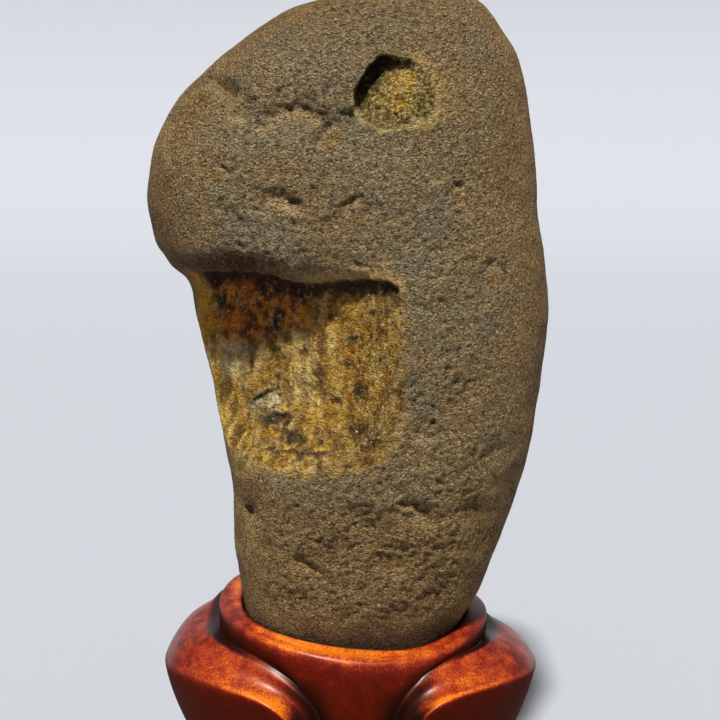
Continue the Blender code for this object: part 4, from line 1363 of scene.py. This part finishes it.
# the ochre halo round the break, with painted light on the lip's right half
haloed_and_lit = (place.attribute("halo") * (0.5 + crumb)).between(0.2, 0.8)
skin_colour = haloed_and_lit.mixed(skin_colour, HALO_AND_LIT_LIP_OCHRE)
bare = 1.0 - 0.7 * place.attribute("umber")
skin_colour = (grain.between(0.54, 0.70) * 0.7 * bare).mixed(skin_colour, QUARTZ)
skin_colour = (grain.between(0.46, 0.32) * 0.8).mixed(skin_colour, FALLEN_GRAIN)
skin_colour = (crumb.between(0.43, 0.30) * 0.75).mixed(skin_colour, DEEP_PIT)
print("old skin:", len(stone_finish.node_tree.nodes), "nodes")

# %% [markdown]
# ## The stone's finish: the break
# The break is golden, because iron in the sandstone rusted along the split. Its left side came away
# in smooth flakes that lean to the right, and its right side in loose grains. So the flakes and the
# grains have a noise each, and the attribute called granular says how much of each shows.

# %% The break
GOLD_RAMP = ((0.35, srgb(72, 46, 16)), (0.45, srgb(130, 94, 31)), (0.52, srgb(164, 122, 42)),
             (0.59, srgb(182, 142, 57)), (0.69, srgb(206, 174, 94)))
IRON_AND_SHADOW_RAMP = ((0.39, srgb(36, 17, 8)), (0.47, srgb(78, 40, 15)), (0.54, srgb(118, 70, 22)),
             (0.62, srgb(184, 116, 36)))
ORANGE_OCHRE = srgb(160, 106, 26)
OLIVE_OCHRE = srgb(136, 112, 56)
FLAKE_SHADE = srgb(88, 62, 27)
FLAKE_LIGHT = srgb(204, 176, 112)
PURE_GOLD = srgb(180, 128, 26)
BLEACHED = srgb(186, 176, 138)
INK = srgb(104, 98, 88)
SCAB = srgb(52, 37, 23)
BRIGHT_RUST = srgb(190, 104, 24)
LIP_PAINTED_SHADOW = srgb(44, 19, 9)
GRAIN_SHADE = srgb(48, 34, 14)
GRAIN_LIGHT = srgb(230, 206, 140)

hues = place.noise(5.5, 3.0, 0.6, (1.0, 1.0, 1.5), (0.0, -0.3, 0.0), 29.0)
fibres = place.noise(0.5, 2.4, 0.65, (1.0, 1.0, 1.8), (0.0, 0.42, 0.0), 17.0)
flaky = place.attribute("golden") * (1.0 - place.attribute("granular"))
flakes = place.noise(2.0, 1.7, 0.55, (1.0, 1.0, 3.2), (0.0, 0.95, 0.0), 53.0)
rough_layers = place.noise(3.0, 4.0, 0.62, (1.0, 1.0, 3.0), (0.0, 0.42, 0.0), 11.0)
smooth_layers = place.noise(3.0, 1.8, 0.55, (1.0, 1.0, 3.0), (0.0, 0.42, 0.0), 11.0)
layers = rough_layers + (smooth_layers - rough_layers) * flaky * 0.85
golden = layers.ramp(*GOLD_RAMP)
golden = (hues.between(0.52, 0.67) * 0.5).mixed(golden, ORANGE_OCHRE)
golden = (hues.between(0.50, 0.38) * 0.6).mixed(golden, OLIVE_OCHRE)
golden = (flakes.between(0.50, 0.38) * flaky * 0.7).mixed(golden, FLAKE_SHADE)
golden = (flakes.between(0.54, 0.68) * flaky * 0.5).mixed(golden, FLAKE_LIGHT)
golden = (place.attribute("gold") * 0.8).mixed(golden, PURE_GOLD)
golden = (place.attribute("pale") * 0.85).mixed(golden, BLEACHED)
golden = (place.attribute("ink") * (0.2 + 1.3 * crumb)).between(0.40, 0.85).mixed(golden, INK)
flaws = place.attribute("scabs") * (0.2 + 1.0 * fibres + 0.5 * layers)
golden = (flaws.between(0.36, 0.78) * 0.9).mixed(golden, SCAB)
# the iron stain, partly painted shadow: its dark reds fill the lip's cast shadow
iron = place.noise(3.2, 3.0, 0.6, (1.0, 1.0, 1.2), shift=37.0).ramp(*IRON_AND_SHADOW_RAMP)
iron = place.attribute("rust_spots").mixed(iron, BRIGHT_RUST)
golden = place.attribute("iron").mixed(golden, iron)
# painted shadow: the break nearly black just under the lip
golden = (place.attribute("lip_dark") * 0.95).mixed(golden, LIP_PAINTED_SHADOW)
speckled = 0.15 + 0.85 * place.attribute("granular")
golden = (fibres.between(0.46, 0.32) * speckled * 0.9).mixed(golden, GRAIN_SHADE)
lit = 1.0 - 0.85 * place.attribute("lip_dark")
golden = (fibres.between(0.55, 0.70) * 0.7 * speckled * lit).mixed(golden, GRAIN_LIGHT)
print("with the break:", len(stone_finish.node_tree.nodes), "nodes")

# %% [markdown]
# ## The stone's finish: the hollow, and all of it together
# The hollow is crusted with coarse olive and golden grains, and its deepest part, under the upper
# left edge, is painted dark as a crescent of shade. Last come the things that lie over every zone:
# the pits darker, dirt and painted shade at the foot, and the paler skin where the highest points
# are rubbed. The bump reads the same noise as the colour, so each dark speck is also a pit.

# %% The hollow
OLIVE_RAMP = ((0.37, srgb(34, 25, 12)), (0.46, srgb(100, 82, 36)), (0.55, srgb(150, 126, 62)),
              (0.65, srgb(214, 194, 130)))
LUMP_RAMP = ((0.34, srgb(66, 48, 16)), (0.44, srgb(142, 106, 34)), (0.54, srgb(196, 154, 58)),
             (0.66, srgb(242, 220, 150)))
CRESCENT_PAINTED_SHADE = srgb(60, 42, 24)

pocket_grains = place.noise(0.7, 4.0, 0.75, shift=43.0)
pocket_hues = place.noise(3.0, 2.0, 0.5, shift=47.0)
olive = pocket_grains.ramp(*OLIVE_RAMP)
gold = pocket_grains.ramp(*LUMP_RAMP)
lumps = place.attribute("pocket_middle") * 0.5 + place.attribute("gold") * 0.9
lumps = lumps * (0.4 + 1.2 * pocket_hues)
pocket = lumps.between(0.25, 0.75).mixed(olive, gold)
# painted shade in the hollow's crescent
pocket = (place.attribute("crescent") * 0.95).mixed(pocket, CRESCENT_PAINTED_SHADE)
print("with the hollow:", len(stone_finish.node_tree.nodes), "nodes")

# %% The whole stone
RIM_OCHRE = srgb(208, 180, 118)
PIT_DARKENING = srgb(52, 38, 24)
RUBBED_SKIN = srgb(176, 156, 116)
FOOT_DIRT_AND_SHADE = srgb(50, 40, 30)
STONE_ROUGHNESS = 0.86
STONE_SPECULAR = 0.18
STONE_BUMP = 1.4 * MM

base = place.attribute("golden").mixed(skin_colour, golden)
base = place.attribute("hollowed").mixed(base, pocket)
base = (place.attribute("rim_line") * 0.8).mixed(base, RIM_OCHRE)
# darker in the pits, by how deep each point lies in the softened skin
pit_darkening = place.attribute("fine").between(-0.02, -0.14) * 0.4
base = pit_darkening.mixed(base, PIT_DARKENING)
rubbed = place.attribute("fine").between(0.03, 0.12) * 0.35 * bare
base = rubbed.mixed(base, RUBBED_SKIN)
# dirt and painted shade at the foot
base = (place.attribute("foot_dirt") * (0.35 + 0.85 * crumb)).mixed(base, FOOT_DIRT_AND_SHADE)
plug(shader, "Base Color", base)
shader.inputs["Roughness"].default_value = STONE_ROUGHNESS
shader.inputs["Specular IOR Level"].default_value = STONE_SPECULAR
height = (grain * 1.5 + crumb * 1.9) * (1.0 - 0.7 * flaky) + flecks.between(0.56, 0.44) * 0.3
height = height + fibres * place.attribute("golden") * 0.6 + flakes * flaky * 2.3
plug(shader, "Normal", height.bump(1.0, STONE_BUMP))
put_on(stone, stone_finish)
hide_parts("stone")
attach(stone, "root")

# %% [markdown]
# ## The carved stand
# The stand is one block of wood: a collar round the socket, two lobes like folded petals and a
# stem between them. It could be modelled again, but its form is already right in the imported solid,
# so the piece starts as a copy of it. The copy's loose triangles are merged and paired into squares,
# the carver's edges are marked as creases, and a subdivision surface then rounds everything else.

# %% The stand's smooth form
MERGE_WITHIN = 0.002 * MM
SQUARE_WITHIN = math.radians(60.0)
# edges that bend more than the first are held a little, and more than the second are held sharp
CREASE_FROM = math.radians(34.0)
CREASE_SHARP = math.radians(75.0)
ROUNDING_LEVELS = 2

stand_solid = frame["nodes"]["stand"]
stand = stand_solid.copy()
stand.data = stand_solid.data.copy()
stand.name = "carved_stand"
for holder in list(stand.users_collection):
    holder.objects.unlink(stand)
bpy.context.scene.collection.objects.link(stand)
activate(stand)
bpy.ops.object.mode_set(mode="EDIT")
bpy.ops.mesh.select_all(action="SELECT")
bpy.ops.mesh.remove_doubles(threshold=MERGE_WITHIN)
bpy.ops.mesh.tris_convert_to_quads(face_threshold=SQUARE_WITHIN, shape_threshold=SQUARE_WITHIN)
bpy.ops.object.mode_set(mode="OBJECT")
corners = bmesh.new()
corners.from_mesh(stand.data)
crease = corners.edges.layers.float.new("crease_edge")
for edge in corners.edges:
    angle = edge.calc_face_angle(0.0)
    edge[crease] = min(1.0, max(0.0, (angle - CREASE_FROM) / (CREASE_SHARP - CREASE_FROM)))
corners.to_mesh(stand.data)
corners.free()
apply_modifier(stand, "SUBSURF", levels=ROUNDING_LEVELS, render_levels=ROUNDING_LEVELS)
bpy.ops.object.shade_smooth()
print("stand:", len(stand.data.vertices), "points")

# %% [markdown]
# ## The roll of the lobes
# Where the two lobes roll over beside the stem, the real carving is rounder than a subdivision
# surface makes it, and a wider bevel would eat into the collar. So the front of that band is drawn
# towards a well softened copy of itself, and the collar keeps its form.

# %% The roll of the lobes
ROUNDED_PASSES = 90
ROUNDED_BAND = (24.0, 34.5)
ROUNDED_FRONT = (-6.0, -16.0)
CLEAR_OF_STONE = (1.6, 3.4)


def gap_to_stone(points):
    """Distance in millimetres from each point to the cobble's side, nearly."""
    return (share_of_reach(points)[0] - 1.0) * SKIN_SIZE


carved = points_of(stand.data)
round_form = softened(carved, edges_of(stand.data), ROUNDED_PASSES)
x, y, z = carved.T
stone_gap = gap_to_stone(carved)
rounded = (step_between(*ROUNDED_FRONT, y) * step_between(*ROUNDED_BAND, z)
           * step_between(*CLEAR_OF_STONE, stone_gap))
place_points(stand.data, carved + (round_form - carved) * rounded[:, None])
print("points drawn in:", int((rounded > 0.01).sum()))

# %% [markdown]
# ## Edges and coves
# Thin red lacquer over pale wood looks orange where it is rubbed thin and nearly black where it
# gathers in the coves. Here the orange of upward crests and of the ledge is partly painted
# highlight, and the black of the coves partly painted shade. So each point of the stand is measured
# in three ways: how far it stands out of the softened form, how open its surroundings are, and how
# much it faces up. Hands have worn the front more than the back. The openness is the share of a fan
# of rays that meet nothing near.

# %% How open each point is
RAYS = 40
RAY_REACH = 9.0 * MM
RAY_LIFT = 0.05 * MM
# rays flatter to the surface than this are left out
RAY_LEAST_RISE = 0.15
GOLDEN_ANGLE = math.pi * (3.0 - math.sqrt(5.0))
OPEN_PASSES = 3


def openness(mesh, count, reach):
    """Share of the rays from each point, spread over the side it faces, that meet nothing near."""
    turns = np.arange(count) * GOLDEN_ANGLE
    heights = 1.0 - (np.arange(count) + 0.5) / count * 2.0
    rings = np.sqrt(1.0 - heights ** 2)
    ways = np.stack([np.cos(turns) * rings, np.sin(turns) * rings, heights], axis=1)
    tree = BVHTree.FromPolygons([v.co for v in mesh.vertices], [p.vertices for p in mesh.polygons])
    shares = np.ones(len(mesh.vertices))
    for row, (point, normal) in enumerate(zip(points_of(mesh) * MM, normals_of(mesh))):
        start = Vector(point + normal * RAY_LIFT)
        outward = ways[ways @ normal > RAY_LEAST_RISE]
        met = sum(tree.ray_cast(start, Vector(way), reach)[0] is not None for way in outward)
        shares[row] = 1.0 - met / len(outward)
    return shares


stand_edges = edges_of(stand.data)
stand_open = softened(openness(stand.data, RAYS, RAY_REACH), stand_edges, OPEN_PASSES)
print("least open:", round(float(stand_open.min()), 2))

# %% Edges, coves and wear
# how far the softened form lies from the real one, and how much the measure itself is softened
BEND_PASSES = 160
BEND_BLUR = 20
COLLAR_NEAR = (9.0, 6.0)
COLLAR_FROM = (28.0, 31.0)
WORN_FROM = (-7.0, -17.0)
COLLAR_WORN_FROM = (-9.5, -18.5)
LEAST_WORN = 0.4
STEM_MIDDLE = 2.0
BESIDE_STEM = (16.0, 11.0)
CREST_FROM = (0.75, 1.5)
CREST_FACING = (0.2, 0.6)
GATHERED_FROM = (0.9, 0.66)
STEM_GATHERED_FROM = (0.97, 0.8)
LEDGE_FACING = (0.3, 0.8)
LEDGE_FROM = (30.0, 33.0)
LEDGE_NEAR = (8.0, 3.0)
BY_STONE = (1.3, 0.5)

facing_up = normals_of(stand.data)[:, 2]
bends = softened(standing_out(stand.data, BEND_PASSES), stand_edges, BEND_BLUR)
on_collar = step_between(*COLLAR_NEAR, stone_gap) * step_between(*COLLAR_FROM, z)
in_front = step_between(*WORN_FROM, y)
in_front = in_front + (step_between(*COLLAR_WORN_FROM, y) - in_front) * on_collar
beside_stem = step_between(*BESIDE_STEM, np.abs(x - STEM_MIDDLE)) * (1.0 - on_collar)
# painted highlight, partly rubbed wear: crests that face up, more in front
crest = (step_between(*CREST_FROM, bends * (0.6 + 0.4 * in_front))
         * step_between(*CREST_FACING, facing_up) * (1.0 - beside_stem))
# painted shade, with pooled lacquer: the less open a point, the darker
gathered = step_between(*GATHERED_FROM, stand_open) * (1.0 - crest) * (1.0 - 0.3 * on_collar)
gathered = np.maximum(gathered, beside_stem * step_between(*STEM_GATHERED_FROM, stand_open))
# painted highlight on the collar's ledge in front, beside the stone
ledge = (step_between(*LEDGE_FACING, facing_up) * in_front * step_between(*LEDGE_FROM, z)
         * step_between(*LEDGE_NEAR, stone_gap))
# each measure, and how many times it is softened before it is kept
for name, values, passes in (
        ("crest", crest, 3),
        ("gathered", gathered, 3),
        ("faces_up", facing_up, 6),
        # painted light: the upper sides, widely softened
        ("upper_side", facing_up, 26),
        ("ledge", ledge, 12),
        ("handled", LEAST_WORN + (1.0 - LEAST_WORN) * in_front, 0),
        ("by_stone", step_between(*BY_STONE, stone_gap), 0)):
    keep_attribute(stand.data, name, softened(values, stand_edges, passes))
print("bends from", round(float(bends.min()), 2), "to", round(float(bends.max()), 2), "mm;",
      "share gathered:", round(float(gathered.mean()), 3))

# %% [markdown]
# ## The stand's lacquer
# One number carries the colour: how thin the lacquer is, with painted light mixed in. It is thin on
# handled upper sides, on the crests and on the collar's ledge, which stand partly for the lamp's
# light as painted highlights, uneven in clouds, long lines and specks, and thick in the coves, which
# stand partly for painted shade. A ramp turns it into colours from nearly black red to orange. Only
# what faces up is polished: it has a clear coat, and the flanks stay dull.

# %% The lacquer
LACQUER_RAMP = ((0.0, srgb(64, 11, 4)), (0.15, srgb(94, 18, 7)), (0.3, srgb(130, 40, 18)),
                (0.5, srgb(156, 62, 14)), (0.75, srgb(196, 102, 22)))
DARK_SPECK = srgb(44, 8, 6)
COVE_SHADE = srgb(14, 5, 5)
SOCKET_SHADOW = srgb(20, 10, 8)
FLANK_ROUGHNESS = 0.8
TOP_POLISH = 0.42
LACQUER_SPECULAR = 0.15
LACQUER_TINT = srgb(255, 150, 62)
COAT = 0.7
COAT_WORN_OFF = 0.4
COAT_ROUGHNESS = 0.33
LACQUER_BUMP = 0.2 * MM

lacquer, shader, place = new_finish("red_lacquer")
mottle = place.noise(3.2, 4.0, 0.65)
specks = place.noise(0.32, 3.0, 0.75, shift=4.0)
lines = place.noise(0.7, 3.0, 0.6, (9.0, 1.0, 1.0), shift=9.0)
# painted light: upper sides, crests and the ledge lighter and more orange, beside real wear
top_light = place.attribute("upper_side").between(-0.2, 1.0)
gathered = place.attribute("gathered")
thin_and_light = top_light * place.attribute("handled") * 0.44 + place.attribute("crest") * 0.6
thin_and_light = thin_and_light + place.attribute("ledge") * 0.17
thin_and_light = thin_and_light + (mottle - 0.5) * 0.85 * (top_light + 0.3)
thin_and_light = thin_and_light * (lines * 0.9 + specks * 2.8 - 0.85) + (specks - 0.5) * 0.22 - gathered * 0.3
body = thin_and_light.ramp(*LACQUER_RAMP)
body = (specks.between(0.44, 0.32) * 0.6).mixed(body, DARK_SPECK)
# painted shade in the coves, with pooled lacquer
body = (gathered * 0.95).mixed(body, COVE_SHADE)
body = place.attribute("by_stone").mixed(body, SOCKET_SHADOW)
plug(shader, "Base Color", body)
polished = place.attribute("faces_up").between(-0.05, 0.6)
plug(shader, "Roughness", FLANK_ROUGHNESS - polished * TOP_POLISH)
plug(shader, "Coat Weight", polished * (COAT - place.attribute("handled") * COAT_WORN_OFF))
shader.inputs["Specular IOR Level"].default_value = LACQUER_SPECULAR
shader.inputs["Specular Tint"].default_value = LACQUER_TINT
shader.inputs["Coat Roughness"].default_value = COAT_ROUGHNESS
plug(shader, "Normal", (specks * 0.6 + lines).bump(0.35, LACQUER_BUMP))
put_on(stand, lacquer)
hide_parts("stand")
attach(stand, "root")
